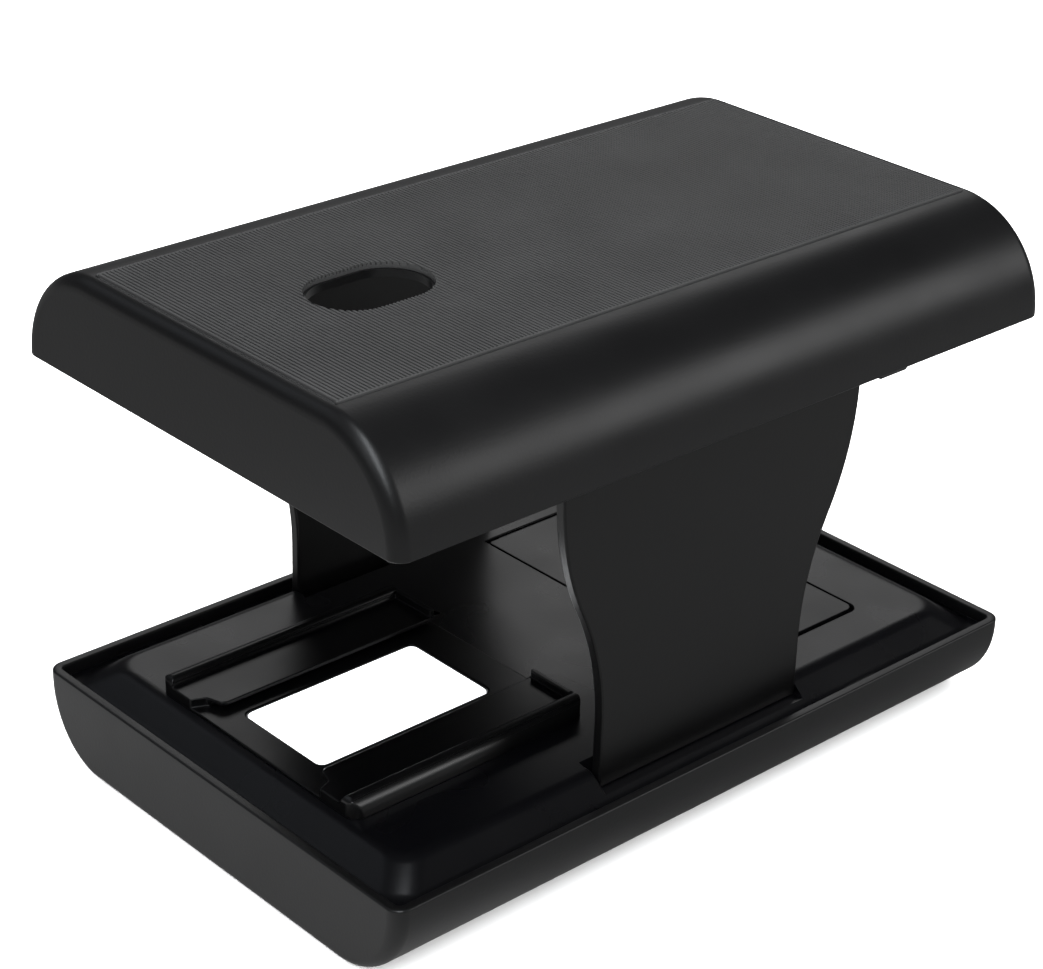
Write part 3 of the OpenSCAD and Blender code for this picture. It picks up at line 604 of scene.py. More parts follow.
carve(deck, opening)
# the battery door's seat, the mouth below it, and the room in which its bead turns
DOOR_X, DOOR_Y = 37.2 * MM, 1 * MM
DOOR_L, DOOR_W, DOOR_T = 39.4 * MM, 68.2 * MM, 1.4 * MM
DOOR_GAP, FRONT_GAP, DOOR_R, DOOR_LEDGE = 0.2 * MM, 0.7 * MM, 2 * MM, 1.5 * MM
BEAD_R, BEAD_ROOM, STUB_R, STUB_L = 0.9 * MM, 3.2 * MM, 0.55 * MM, 1.4 * MM
AXIS_Y, AXIS_Z = DOOR_Y + DOOR_W / 2 - BEAD_R, DECK_TOP - BEAD_R
seat = stacked("seat", DOOR_L, DOOR_W + FRONT_GAP, DOOR_R, (
    (2 * DOOR_GAP, DECK_TOP - DOOR_T), (2 * DOOR_GAP, DECK_TOP - 0.2 * MM),
    (3 * DOOR_GAP, DECK_TOP + 0.05 * MM), (3 * DOOR_GAP, ABOVE)), share=0.5)
move(seat, DOOR_X, DOOR_Y - FRONT_GAP / 2)
carve(deck, seat)
mouth = stacked("mouth", DOOR_L - 2 * DOOR_LEDGE, DOOR_W - 2 * DOOR_LEDGE, DOOR_R, THROUGH)
move(mouth, DOOR_X, DOOR_Y)
carve(deck, mouth)
room_half, room_y = DOOR_L / 2 + DOOR_GAP, AXIS_Y - 0.5 * MM
carve(deck, block("bead room", (DOOR_X - room_half, room_y - BEAD_ROOM / 2, ceiling - 1 * MM),
                  (DOOR_X + room_half, room_y + BEAD_ROOM / 2, ABOVE)))
bore_half = DOOR_L / 2 + STUB_L + 0.2 * MM
carve(deck, rod((DOOR_X, AXIS_Y, AXIS_Z), STUB_R + 0.05 * MM, -bore_half, bore_half, "X"))
CATCH_X = 41.05 * MM
CATCH_SLOT_L, CATCH_SLOT_Y0, CATCH_SLOT_Y1 = 8.4 * MM, 49.2 * MM, 52 * MM
for s in (-1, 1):
    y0, y1 = sorted((-s * CATCH_SLOT_Y0, -s * CATCH_SLOT_Y1))
    carve(deck, block("catch slot", (s * CATCH_X - CATCH_SLOT_L / 2, y0, DECK_UNDER - 1 * MM),
                      (s * CATCH_X + CATCH_SLOT_L / 2, y1, TROUGH + 2 * MM)))
soften(deck, 0.18 * MM)
stands_for(deck, "deck", "base")


# ------------------------------------------------------------------ deck screws
# Four plated steel screws, driven from below through the tray's posts into the deck's bosses.
# Their pan heads have a cross recess and lie at the bottom of deep wells.
SCREW_HEAD_R, SCREW_HEAD_H, SCREW_L, SCREW_PITCH = 2.7 * MM, 1.8 * MM, 12 * MM, 0.9 * MM


def plated(name, colour, roughness):
    """Plated steel: bright, with fine random scratches in its gloss"""
    values = {"Metallic": 1, "Base Color": (*colour, 1)}
    return grained(name, values, roughness * 0.7, roughness * 1.4, 5200, 420, 0.004)[0]


STEEL = plated("zinc plated steel", (0.62, 0.62, 0.64), 0.28)


def cross_screw(head_r, head_h, length, pitch):
    """Pan-head screw that points up from z = 0, with its cross recess below"""
    r, top = PILOT_R, head_h + length
    profile = [(0, 0)] + [(head_r * (0.62 + 0.38 * sin(a)), head_h * 0.5 * (1 - cos(a)))
                          for a in [pi / 2 * i / 5 for i in range(6)]]
    profile += [(head_r, head_h), (r, head_h)]
    z = head_h + pitch
    while z < top - 1.5 * pitch:
        profile += [(r, z), (r * 0.8, z + pitch * 0.5)]
        z += pitch
    profile += [(r, z), (r, top - r * 0.4), (r * 0.6, top), (0, top)]
    screw = lathe("screw", (0, 0, 0), profile, material=STEEL, steps=28)
    arm, thick, deep = head_r * 0.58, head_r * 0.13, head_h * 0.55
    for a, b in ((arm, thick), (thick, arm)):
        cross = [[(sx * a * taper, sy * b * taper, z) for sx, sy in CORNERS]
                 for taper, z in ((1, -0.1 * MM), (0.6, deep))]
        carve(screw, loops_to_solid("cross", cross))
    return screw


deck_screw = cross_screw(SCREW_HEAD_R, SCREW_HEAD_H, SCREW_L, SCREW_PITCH)
head_z = tray_low.z + WELL_H - SCREW_HEAD_H
deck_screws = repeated("deck_screw_set", deck_screw, [(x, y, head_z) for x, y in SCREW_PLACES])
stands_for(deck_screws, "deck_screws", "base")


# ------------------------------------------------------------------ film cradle
# The raised seat for a mounted slide, with a channel under its shelves that guides a film strip.
# A separate black moulding that plugs into the deck round the window.
CRADLE_BLACK = moulded("polished black cradle", (0.0008, 0.0008, 0.001), 0.33, 2400, 0.01, specular=0.4)
# a glossier copy of the cradle's black: it paints a brighter highlight on the near bar
BAR_HIGHLIGHT_BLACK = moulded("black bar with painted highlight", (0.0008, 0.0008, 0.001), 0.34, 2400, 0.01, specular=0.85)
cradle_low, cradle_high = [Vector(corner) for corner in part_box("film_holder")]
SLIDE_HALF = 25.5 * MM
CREST_W, CREST_R, FOOT_FILLET, SHOULDER_R = 1 * MM, 1 * MM, 0.7 * MM, 2.7 * MM
CREST, SHELF = DECK_TOP + 4 * MM, DECK_TOP + 2.3 * MM
LIP_UNDER, LIP_HALF, LIP_T, LIP_R = DECK_TOP + 1.5 * MM, 14.6 * MM, 1.3 * MM, 0.6 * MM
CHANNEL, FILM_HALF = DECK_TOP + 0.6 * MM, 17.9 * MM
NEAR_R, FAR_R = 2.6 * MM, 3 * MM
NEAR_DOWN_R, FAR_DOWN_R = 1.5 * MM, 0.8 * MM
SUNK = 0.05 * MM
WINDOW_X, WINDOW_L, WINDOW_W, WINDOW_R = -43 * MM, 41 * MM, 23 * MM, 1.5 * MM


def arc(centre, r, start, end, steps):
    """Points along an arc, angles in degrees"""
    return [(centre[0] + r * cos(radians(start + (end - start) * i / steps)),
             centre[1] + r * sin(radians(start + (end - start) * i / steps)))
            for i in range(steps + 1)]


def refinish(piece, material, where):
    """Gives another finish to the faces whose middle passes the test"""
    piece.data.materials.append(material)
    last = len(piece.data.materials) - 1
    for face in piece.data.polygons:
        if where(face.center):
            face.material_index = last


shoulder = SLIDE_HALF + CREST_W
right_side = [(shoulder + SHOULDER_R, DECK_TOP - SUNK)]
right_side += arc((shoulder, CREST - SHOULDER_R), SHOULDER_R, 0, 90, 14)
right_side += arc((SLIDE_HALF + CREST_R - 0.01 * MM, CREST - CREST_R), CREST_R, 90, 180, 7)
right_side += arc((SLIDE_HALF - FOOT_FILLET - 0.02 * MM, SHELF + FOOT_FILLET), FOOT_FILLET, 0, -90, 6)
right_side += [(LIP_HALF, SHELF), (LIP_HALF, LIP_UNDER), (FILM_HALF, LIP_UNDER), (FILM_HALF, CHANNEL)]
section = right_side + [(-y, z) for y, z in reversed(right_side)]
x0, x1, side_y = cradle_low.x, cradle_high.x, cradle_high.y
cradle = prism("film_cradle", section, x0, x1, material=CRADLE_BLACK)
plan = arc((x1 - FAR_R, side_y - FAR_R), FAR_R, 0, 90, 10)
plan += arc((x0 + NEAR_R, side_y - NEAR_R), NEAR_R, 90, 180, 6)
plan += [(x, -y) for x, y in reversed(plan)]
carve(cradle, prism("plan", plan, DECK_TOP - 1 * MM, CREST + 1 * MM, "Z"), "INTERSECT")
lip = [(x1 - LIP_T, SLIDE_HALF), (x1 - 0.1 * MM, SLIDE_HALF)]
lip += arc((x1 - LIP_T / 2 - 0.05 * MM, LIP_HALF + LIP_R), LIP_R, 0, -180, 8)
lead_in = [(x0 - 1 * MM, 13 * MM), (x0 - 1 * MM, 19.5 * MM), (x0, 19.5 * MM), (x0 + 2.9 * MM, 18.3 * MM),
           (x0 + 3.9 * MM, 15.2 * MM), (x0 + 5 * MM, LIP_HALF), (x0 + 5 * MM, 13 * MM)]
for s in (-1, 1):
    carve(cradle, prism("end lip", [(x, s * y) for x, y in lip], LIP_UNDER + 0.2 * MM, CREST - 0.1 * MM, "Z"),
          "UNION")
    carve(cradle, prism("lead in", [(x, s * y) for x, y in lead_in], CHANNEL, CREST + 1 * MM, "Z"))
ends = [(x1, DECK_TOP - 1 * MM)]
ends += arc((x1 - FAR_DOWN_R, CREST - FAR_DOWN_R), FAR_DOWN_R, 0, 90, 6)
ends += arc((x0 + NEAR_DOWN_R, CREST - NEAR_DOWN_R), NEAR_DOWN_R, 90, 180, 8)
ends += [(x0, DECK_TOP - 1 * MM)]
carve(cradle, prism("ends", ends, -side_y - 1 * MM, side_y + 1 * MM, "Y"), "INTERSECT")
PLUG_UNDER = DECK_TOP - 1.8 * MM
plug = stacked("plug", PLUG_L, PLUG_W, PLUG_R, ((0, PLUG_UNDER), (0, CHANNEL - SUNK)))
move(plug, PLUG_X)
carve(cradle, plug, "UNION")
window_cut = stacked("window", WINDOW_L, WINDOW_W, WINDOW_R, (
    (0, 0), (0, CHANNEL - 0.3 * MM), (0.8 * MM, CHANNEL + 0.1 * MM), (0.8 * MM, 2 * RIM)), share=0.5)
move(window_cut, WINDOW_X)
carve(cradle, window_cut)
soften(cradle, 0.22 * MM, segments=3, angle=35)
# the near bar gets a glossier copy of the black, which paints a brighter highlight along it
refinish(cradle, BAR_HIGHLIGHT_BLACK, lambda c: c.y < -SLIDE_HALF - 0.5 * MM)
stands_for(cradle, "film_holder", "base")


# ------------------------------------------------------------------ window diffuser
# An opal acrylic plate that spreads the light of the lamps below it. Its flange is trapped
# between the deck and the light box, and its top stands just under the channel floor.
diffuser_low, diffuser_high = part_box("window_diffuser")
# the plate's glow is painted light: its emission stands in for the lamps below, which give no light here
OPAL_GLOW = 1.15
FLANGE, PLATE_GAP, FACE_R = 2 * MM, 0.2 * MM, 0.25 * MM
opal, opal_tree, opal_shader = add_material("opal acrylic", {
    "Roughness": 0.35, "Emission Strength": OPAL_GLOW})
opal_place = add_node(opal_tree, "TexCoord")
opal_haze = add_node(opal_tree, "TexNoise", {"Scale": 45})
opal_tint = add_node(opal_tree, "Mix")
opal_tint.data_type = "RGBA"
opal_tint.inputs["A"].default_value = (0.93, 0.95, 0.97, 1)
opal_tint.inputs["B"].default_value = (0.97, 0.98, 1.0, 1)
link(opal_tree,
     (opal_place.outputs["Object"], opal_haze.inputs["Vector"]),
     (opal_haze.outputs["Fac"], opal_tint.inputs["Factor"]),
     (opal_tint.outputs["Result"], opal_shader.inputs["Base Color"]),
     (opal_tint.outputs["Result"], opal_shader.inputs["Emission Color"]))

diffuser = stacked("opal_window", WINDOW_L, WINDOW_W, WINDOW_R, (
    (2 * FLANGE, diffuser_low[2]), (2 * FLANGE, PLUG_UNDER), (-PLATE_GAP, PLUG_UNDER),
    (-PLATE_GAP, diffuser_high[2] - FACE_R), (-PLATE_GAP - FACE_R, diffuser_high[2] - 0.3 * FACE_R),
    (-PLATE_GAP - 2 * FACE_R, diffuser_high[2])), opal)
move(diffuser, WINDOW_X)
keep_flat(diffuser)
stands_for(diffuser, "window_diffuser", "base")


# ------------------------------------------------------------------ lamp board and light box
# Six white lamps on a white board at the bottom of a white plastic frame, which throws their
# light up into the window. The board is clamped under the frame.
def finish(node, material):
    """Gives a node of the frame its finish and keeps its shape"""
    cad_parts[node].data.materials.clear()
    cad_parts[node].data.materials.append(material)


WHITE_PLASTIC = moulded("white light box plastic", (0.82, 0.82, 0.8), 0.4, 1800, vary=0.03)
PHOSPHOR = moulded("lamp phosphor", (0.8, 0.55, 0.08), 0.3, 4000, 0.008, 0.08)
finish("light_box", WHITE_PLASTIC)
finish("led_board", moulded("white lamp board", (0.74, 0.75, 0.7), 0.33, 3000, 0.006, 0.05))
lamp_low, lamp_high = [Vector(corner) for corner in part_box("leds")]
LAMP_L, LAMP_W, LAMP_R = 3.5 * MM, 2.8 * MM, 0.3 * MM
LAMP_H = lamp_high.z - lamp_low.z
PHOSPHOR_Z = LAMP_H * 0.75
lamp = stacked("lamp", LAMP_L, LAMP_W, LAMP_R, (
    (0, 0), (0, LAMP_H * 0.8), (-0.3 * MM, LAMP_H), (-1.1 * MM, LAMP_H),
    (-1.3 * MM, PHOSPHOR_Z)), WHITE_PLASTIC)
refinish(lamp, PHOSPHOR, lambda c: abs(c.z - PHOSPHOR_Z) < 0.01 * MM)
lamp_places = [(x, y, lamp_low.z) for x in (lamp_low.x + LAMP_L / 2, WINDOW_X, lamp_high.x - LAMP_L / 2)
               for y in (lamp_low.y + LAMP_W / 2, lamp_high.y - LAMP_W / 2)]
lamps = repeated("lamp_set", lamp, lamp_places)
stands_for(lamps, "leds", "base")


# ------------------------------------------------------------------ battery bay
# A black plastic box under the deck that holds two cells side by side. A low ridge on its
# floor keeps them apart.
INNER_BLACK = moulded("plain black inner plastic", (0.007, 0.007, 0.0075), 0.45)
bay_low, bay_high = [Vector(corner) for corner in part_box("battery_bay")]
BAY_WALL, BAY_FLOOR, BAY_R = 1.2 * MM, 0.8 * MM, 2 * MM
RIDGE_HALF, CREST_HALF, RIDGE_H = 3.2 * MM, 0.7 * MM, 3 * MM
bay_l, bay_w = bay_high.x - bay_low.x, bay_high.y - bay_low.y
well_l, well_w = bay_l - 2 * BAY_WALL, bay_w - 2 * BAY_WALL
bay_loops = [plan_loop(bay_l, bay_w, BAY_R, z) for z in (bay_low.z, bay_high.z)]
bay_loops += [plan_loop(well_l, well_w, BAY_R / 2, z) for z in (bay_high.z, bay_low.z + BAY_FLOOR)]
bay = loops_to_solid("battery_box", bay_loops, INNER_BLACK)
ridge_z = bay_low.z + BAY_FLOOR - 0.1 * MM
ridge = [(-RIDGE_HALF, ridge_z), (RIDGE_HALF, ridge_z), (CREST_HALF, ridge_z + RIDGE_H),
         (-CREST_HALF, ridge_z + RIDGE_H)]
carve(bay, prism("ridge", ridge, -0.4 * bay_w, 0.4 * bay_w, "Y"), "UNION")
move(bay, DOOR_X, DOOR_Y)
soften(bay, 0.2 * MM)
stands_for(bay, "battery_bay", "base")


# ------------------------------------------------------------------ battery cells
# Two AA cells that lie in opposite directions, each a steel can in a plain shrunk sleeve. The
# sleeve is turned in over both ends and leaves the can's rim and nub bare.
cells_low, cells_high = [Vector(corner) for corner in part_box("battery_cells")]
CELL_R, CELL_L, CELL_EDGE_R, CELL_PITCH = 7.25 * MM, 50.5 * MM, 0.6 * MM, 15.2 * MM
NUB_R, NUB_H, NUB_EDGE = 2.75 * MM, 1.3 * MM, 0.4 * MM
CUP_T, SLEEVE_IN_R, BAND_FROM = 0.35 * MM, 5.7 * MM, 36 * MM
SLEEVE = moulded("slate blue cell sleeve", (0.009, 0.022, 0.05), 0.25, 900, 0.006, 0.06)
BAND = moulded("pale grey cell band", (0.16, 0.164, 0.168), 0.28, 900, 0.006, 0.05)
CAN_STEEL = plated("nickel plated can", (0.7, 0.69, 0.66), 0.22)
can_l = CELL_L - NUB_H
cell_profile = [(0, CUP_T), (4.4 * MM, CUP_T), (4.8 * MM, 0), (6.2 * MM, 0), (6.2 * MM, 0.1 * MM)]
cell_profile += arc((CELL_R - CELL_EDGE_R, CELL_EDGE_R), CELL_EDGE_R, -90, 0, 3)
cell_profile += [(CELL_R, BAND_FROM)]
cell_profile += arc((CELL_R - CELL_EDGE_R, can_l - CELL_EDGE_R), CELL_EDGE_R, 0, 90, 3)
cell_profile += [(5.6 * MM, can_l), (5.4 * MM, can_l - CUP_T), (NUB_R, can_l - CUP_T),
                 (NUB_R, CELL_L - NUB_EDGE), (NUB_R - NUB_EDGE, CELL_L), (0, CELL_L)]
cell = lathe("cell", (0, -can_l, 0), cell_profile, "Y", CAN_STEEL, 48)


def on_sleeve(c, low, high):
    """Whether a point of the cell lies on its sleeve, between two places along it"""
    return sqrt(c.x ** 2 + c.z ** 2) > SLEEVE_IN_R and low < c.y < high


refinish(cell, SLEEVE, lambda c: on_sleeve(c, 0.02 * MM - can_l, CELL_L))
refinish(cell, BAND, lambda c: on_sleeve(c, BAND_FROM - can_l, -0.1 * MM))
cell_z = (cells_low.z + cells_high.z) / 2
move(cell, CELL_PITCH / 2, cells_high.y - DOOR_Y - NUB_H)
bay_middle = Matrix.Translation((DOOR_X, DOOR_Y, cell_z))
HALF_TURN = Matrix.Rotation(pi, 4, "Z")
cells = repeated("cell_pair", cell, [bay_middle, bay_middle @ HALF_TURN])
stands_for(cells, "battery_cells", "base")


# ------------------------------------------------------------------ contacts
# Nickel plated contact plates that slide into the ends of the bay, and a conical steel spring
# behind the flat end of each cell.
plates_low, plates_high = [Vector(corner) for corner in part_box("contact_plates")]
PLATE_T, PLATE_SIDE, PLATE_R = 0.4 * MM, 11 * MM, 1 * MM
plate_parts = []
for x, width, y in ((-CELL_PITCH / 2, PLATE_SIDE, plates_high.y - PLATE_T),
                    (CELL_PITCH / 2, PLATE_SIDE, plates_high.y - PLATE_T),
                    (0, CELL_PITCH + PLATE_SIDE, plates_low.y)):
    edge = arc((width / 2 - PLATE_R, PLATE_SIDE / 2 - PLATE_R), PLATE_R, 0, 90, 5)
    edge += [(-a, b) for a, b in reversed(edge)]
    edge += [(a, -b) for a, b in reversed(edge)]
    plate = prism("plate", edge, y, y + PLATE_T, "Y", CAN_STEEL)
    move(plate, DOOR_X + x, 0, cell_z)
    plate_parts.append(plate)
plates = joined("contact_plate_set", plate_parts)
soften(plates, 0.08 * MM)
stands_for(plates, "contact_plates", "base")

WIRE_R, WIRE_SIDES, SPRING_TURNS, TURN_STEPS = 0.4 * MM, 12, 5, 24
SPRING_WIDE, SPRING_NARROW, SPRING_PLAY = 4.6 * MM, 3.2 * MM, 0.05 * MM


def wire(name, path):
    """Round steel wire along a path, with flat ends"""
    path = [Vector(p) for p in path]
    points, faces = [], []
    for i, p in enumerate(path):
        along = (path[min(i + 1, len(path) - 1)] - path[max(i - 1, 0)]).normalized()
        a = along.cross(Vector((0.01, 0.02, 1))).normalized()
        b = along.cross(a)
        for k in range(WIRE_SIDES):
            angle = 2 * pi * k / WIRE_SIDES
            points.append(tuple(p + WIRE_R * (cos(angle) * a + sin(angle) * b)))
    for i in range(len(path) - 1):
        for k in range(WIRE_SIDES):
            first, second = i * WIRE_SIDES, (i + 1) * WIRE_SIDES
            m = (k + 1) % WIRE_SIDES
            faces.append((first + k, first + m, second + m, second + k))
    last = (len(path) - 1) * WIRE_SIDES
    faces += [tuple(range(WIRE_SIDES)), tuple(range(last, last + WIRE_SIDES))]
    return make_piece(name, points, faces, STEEL)


spring_y = plates_low.y + PLATE_T - DOOR_Y
spring_h = -2 * spring_y - CELL_L - 2 * WIRE_R - 2 * SPRING_PLAY
spring_path = []
for i in range(SPRING_TURNS * TURN_STEPS + 1):
    done = i / (SPRING_TURNS * TURN_STEPS)
    a, r = 2 * pi * i / TURN_STEPS, SPRING_WIDE + (SPRING_NARROW - SPRING_WIDE) * done
    rise = WIRE_R + SPRING_PLAY + done * spring_h
    spring_path.append((CELL_PITCH / 2 + r * cos(a), spring_y + rise, r * sin(a)))
spring = wire("spring", spring_path)
springs = repeated("cell_spring_pair", spring, [bay_middle, bay_middle @ HALF_TURN])
stands_for(springs, "battery_springs", "base")


# ------------------------------------------------------------------ battery door
# A thin black lid let in flush with the deck. A bead along its back edge turns on two stub
# pins; a tongue under its front edge snaps into the mouth, beside a hollow for a thumb.
DOOR_BLACK = moulded("satin black door", (0.001, 0.001, 0.0014), 0.3, 2300, 0.012, specular=0.34)
DOOR_FRONT, DOOR_UNDER = DOOR_Y - DOOR_W / 2, DECK_TOP - DOOR_T
THUMB_X, THUMB_Y, THUMB_R, THUMB_SINK = DOOR_X - 7 * MM, DOOR_FRONT - 3 * MM, 10 * MM, 1.3 * MM
TONGUE_HALF, TONGUE_T, TONGUE_H = 4 * MM, 1 * MM, 3.4 * MM
door = stacked("battery_lid", DOOR_L, DOOR_W, DOOR_R, (
    (-0.3 * MM, DOOR_UNDER), (0, DOOR_UNDER + 0.15 * MM), (0, DECK_TOP - 0.25 * MM),
    (-0.15 * MM, DECK_TOP - 0.07 * MM), (-0.5 * MM, DECK_TOP)), DOOR_BLACK, share=0.5)
move(door, DOOR_X, DOOR_Y)
carve(door, block("back edge", (DOOR_X - DOOR_L, AXIS_Y, 0), (DOOR_X + DOOR_L, AXIS_Y + DOOR_L, 2 * RIM)))
for r, bead_half in ((BEAD_R, DOOR_L / 2 - 3 * MM), (STUB_R, DOOR_L / 2 + STUB_L)):
    carve(door, rod((DOOR_X, AXIS_Y, AXIS_Z), r, -bead_half, bead_half, "X"), "UNION")
ball = arc((0, 0), THUMB_R, -90, 90, 60)
carve(door, lathe("thumb hollow", (THUMB_X, THUMB_Y, DECK_TOP + THUMB_R - THUMB_SINK), ball, steps=96))
tongue_y, tongue_top = DOOR_FRONT + DOOR_LEDGE + 0.2 * MM, DOOR_UNDER + 0.2 * MM
tongue = [(tongue_y, tongue_top), (tongue_y, DOOR_UNDER - 2.1 * MM),
          (tongue_y + 0.25 * MM, DOOR_UNDER - TONGUE_H), (tongue_y + TONGUE_T, DOOR_UNDER - TONGUE_H),
          (tongue_y + TONGUE_T, tongue_top)]
carve(door, prism("tongue", tongue, DOOR_X - TONGUE_HALF, DOOR_X + TONGUE_HALF), "UNION")
keep_flat(door)
stands_for(door, "battery_door", "door")


# ------------------------------------------------------------------ control board and leads
# A small green board on two stand-offs, with the lamp driver and a few components, and two
# red leads along the tray's floor to the lamp board. All of it is closed in by the deck.
finish("control_board", moulded("green control board", (0.01, 0.09, 0.035), 0.3, 2600, 0.008))
finish("board_parts", moulded("black component resin", (0.016, 0.016, 0.017), 0.5, 3200))
finish("power_leads", moulded("red lead sheath", (0.35, 0.012, 0.01), 0.42, 1400))


# ------------------------------------------------------------------ power switch
# A slide switch behind the far end wall. Its ribbed knob slides in a slot at the bottom of a
# finger recess.
finish("switch_body", moulded("black switch body", (0.014, 0.014, 0.015), 0.42, 2600))
KNOB_GREY = moulded("dark grey knob", (0.015, 0.015, 0.016), 0.45, 2000)
knob_low, knob_high = [Vector(corner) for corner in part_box("switch_knob")]
KNOB_T, KNOB_HALF, KNOB_R = 0.8 * MM, 2.2 * MM, 0.4 * MM
GROOVE_R, GROOVE_PITCH = 0.3 * MM, 1.2 * MM
STEM_L, STEM_W = 3.6 * MM, 2.2 * MM
knob_y = (knob_low.y + knob_high.y) / 2
knob_face = arc((KNOB_HALF - KNOB_R, knob_high.x - KNOB_R), KNOB_R, 0, 90, 4)
for y in (GROOVE_PITCH, 0, -GROOVE_PITCH):
    knob_face += arc((y, knob_high.x), GROOVE_R, 0, -180, 6)
knob_face += arc((KNOB_R - KNOB_HALF, knob_high.x - KNOB_R), KNOB_R, 90, 180, 4)
knob_face += [(-KNOB_HALF, knob_high.x - KNOB_T), (KNOB_HALF, knob_high.x - KNOB_T)]
knob = prism("switch_button", [(x, y + knob_y) for y, x in knob_face], SWITCH_Z - KNOB_HALF,
             SWITCH_Z + KNOB_HALF, "Z", KNOB_GREY)
carve(knob, block("stem", (knob_low.x, knob_y - STEM_L / 2, SWITCH_Z - STEM_W / 2),
                  (knob_high.x - KNOB_T + 0.2 * MM, knob_y + STEM_L / 2, SWITCH_Z + STEM_W / 2)), "UNION")
soften(knob, 0.12 * MM, angle=60)
stands_for(knob, "switch_knob", "switch")


# ------------------------------------------------------------------ legs
# Two flat S-curved panels of two heights, broad at the top and narrow at the foot. Each is one
# satin black moulding with a round knuckle along its top that turns on two steel pins.
LEG_BLACK = moulded("satin black leg", (0.0013, 0.0013, 0.0014), 0.36, 1900, 0.014)
LEGS = (("front_leg", -1), ("back_leg", 1))
S_LOW, S_HIGH, S_STEPS = 12 * MM, 62 * MM, 40
TOP_HALF, NECK_HALF, NECK_H = 37.5 * MM, 36.5 * MM, 8 * MM
KNUCKLE_R, PIN_R, PIN_HOLD = 2.2 * MM, 1.2 * MM, 9 * MM
s_turn = 2 * atan((TOP_HALF - LEG_FOOT_HALF) / (S_HIGH - S_LOW))
s_r = (S_HIGH - S_LOW) / (2 * sin(s_turn))


def leg_half(z):
    """Half width of a leg at a height above the rim: two equal arcs make the S"""
    if z < (S_LOW + S_HIGH) / 2:
        return LEG_FOOT_HALF + s_r - sqrt(s_r ** 2 - (z - S_LOW) ** 2)
    return TOP_HALF - s_r + sqrt(s_r ** 2 - (S_HIGH - z) ** 2)


def make_leg(name, side, pin_z):
    """Panel with its knuckle, foot down; side is -1 for the front and 1 for the back"""
    y, neck_z = side * LEG_Y, pin_z - NECK_H
    edge = [(LEG_FOOT_HALF, SOCKET)]
    edge += [(leg_half(z), z + RIM) for z in [S_LOW + (S_HIGH - S_LOW) * i / S_STEPS
                                              for i in range(S_STEPS + 1)]]
    edge += [(TOP_HALF, neck_z), (NECK_HALF, neck_z), (NECK_HALF, pin_z)]
    outline = edge + [(-x, z) for x, z in reversed(edge)]
    leg = prism(name, outline, y - LEG_T / 2, y + LEG_T / 2, "Y", LEG_BLACK)
    knuckle = [(0, -NECK_HALF), (KNUCKLE_R, -NECK_HALF), (KNUCKLE_R, NECK_HALF), (0, NECK_HALF)]
    carve(leg, lathe("knuckle", (0, y, pin_z), knuckle, "X", steps=40), "UNION")
    for s in (-1, 1):
        carve(leg, rod((s * NECK_HALF, y, pin_z), PIN_R, -PIN_HOLD, PIN_HOLD, "X"))
    soften(leg, 0.4 * MM, segments=3)
    return leg


pin_heights = {}
for name, side in LEGS:
    pin_heights[side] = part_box(name)[1][2] - KNUCKLE_R
    leg = make_leg(name + "_panel", side, pin_heights[side])
    stands_for(leg, name, name)


# ------------------------------------------------------------------ leg pins
# Two short steel pins in the ends of each knuckle, with their ends chamfered. They are a press
# fit in the leg and turn in the brackets.
PIN_L, PIN_CHAMFER = PIN_HOLD + 3.5 * MM, 0.25 * MM
pin_profile = [(0, 0), (PIN_R - PIN_CHAMFER, 0), (PIN_R, PIN_CHAMFER), (PIN_R, PIN_L - PIN_CHAMFER),
               (PIN_R - PIN_CHAMFER, PIN_L), (0, PIN_L)]
for name, side in LEGS:
    pin = lathe("pin", (NECK_HALF - PIN_HOLD, 0, 0), pin_profile, "X", STEEL)
    centre = Matrix.Translation((0, side * LEG_Y, pin_heights[side]))
    pins = repeated(name + "_pin_pair", pin, [centre, centre @ HALF_TURN])
    stands_for(pins, name + "_pins", name)


# ------------------------------------------------------------------ cover
# The hollow lid that the telephone lies on: the tray's shape turned over and a little deeper,
# moulded in the same satin black, with a shallow pocket for the mat and a hole for the camera.
cover_low, cover_high = [Vector(corner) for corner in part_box("cover_shell")]
COVER_L, COVER_W = cover_high.x - cover_low.x, cover_high.y - cover_low.y
COVER_H = cover_high.z - cover_low.z
COVER_SIDE_R, COVER_RIM_R, CEILING_T = 20.2 * MM, 0.28 * MM, 2.4 * MM
MAT_L, MAT_W, MAT_R, MAT_SINK = 155 * MM, 68 * MM, 1.5 * MM, 0.9 * MM
APERTURE_R, APERTURE_RUN, HALF_ROUND_STEPS = 8 * MM, 8 * MM, 16
cover = open_tray("cover_moulding", (COVER_L, COVER_W, COVER_H), COVER_SIDE_R, COVER_SIDE_R - WALL,
                  CEILING_T, COVER_RIM_R, END_R)
cover.data.transform(Matrix.Translation((0, 0, cover_low.z)) @ Matrix.Scale(-1, 4, (0, 0, 1)))
cover.data.flip_normals()
pocket = stacked("pocket", MAT_L, MAT_W, MAT_R, (
    (0, -MAT_SINK), (0, -0.2 * MM), (0.5 * MM, 0.05 * MM), (0.5 * MM, 2 * MM)))
move(pocket, z=cover_high.z)
carve(cover, pocket)


def aperture_outline(r):
    """Outline of the camera hole: two half rounds joined by straight sides"""
    run = APERTURE_RUN / 2
    return (arc((WINDOW_X + run, 0), r, -90, 90, HALF_ROUND_STEPS)
            + arc((WINDOW_X - run, 0), r, 90, 270, HALF_ROUND_STEPS))


carve(cover, prism("hole", aperture_outline(APERTURE_R), cover_low.z, cover_high.z + 5 * MM, "Z"))
keep_flat(cover)
stands_for(cover, "cover_shell", "cover")


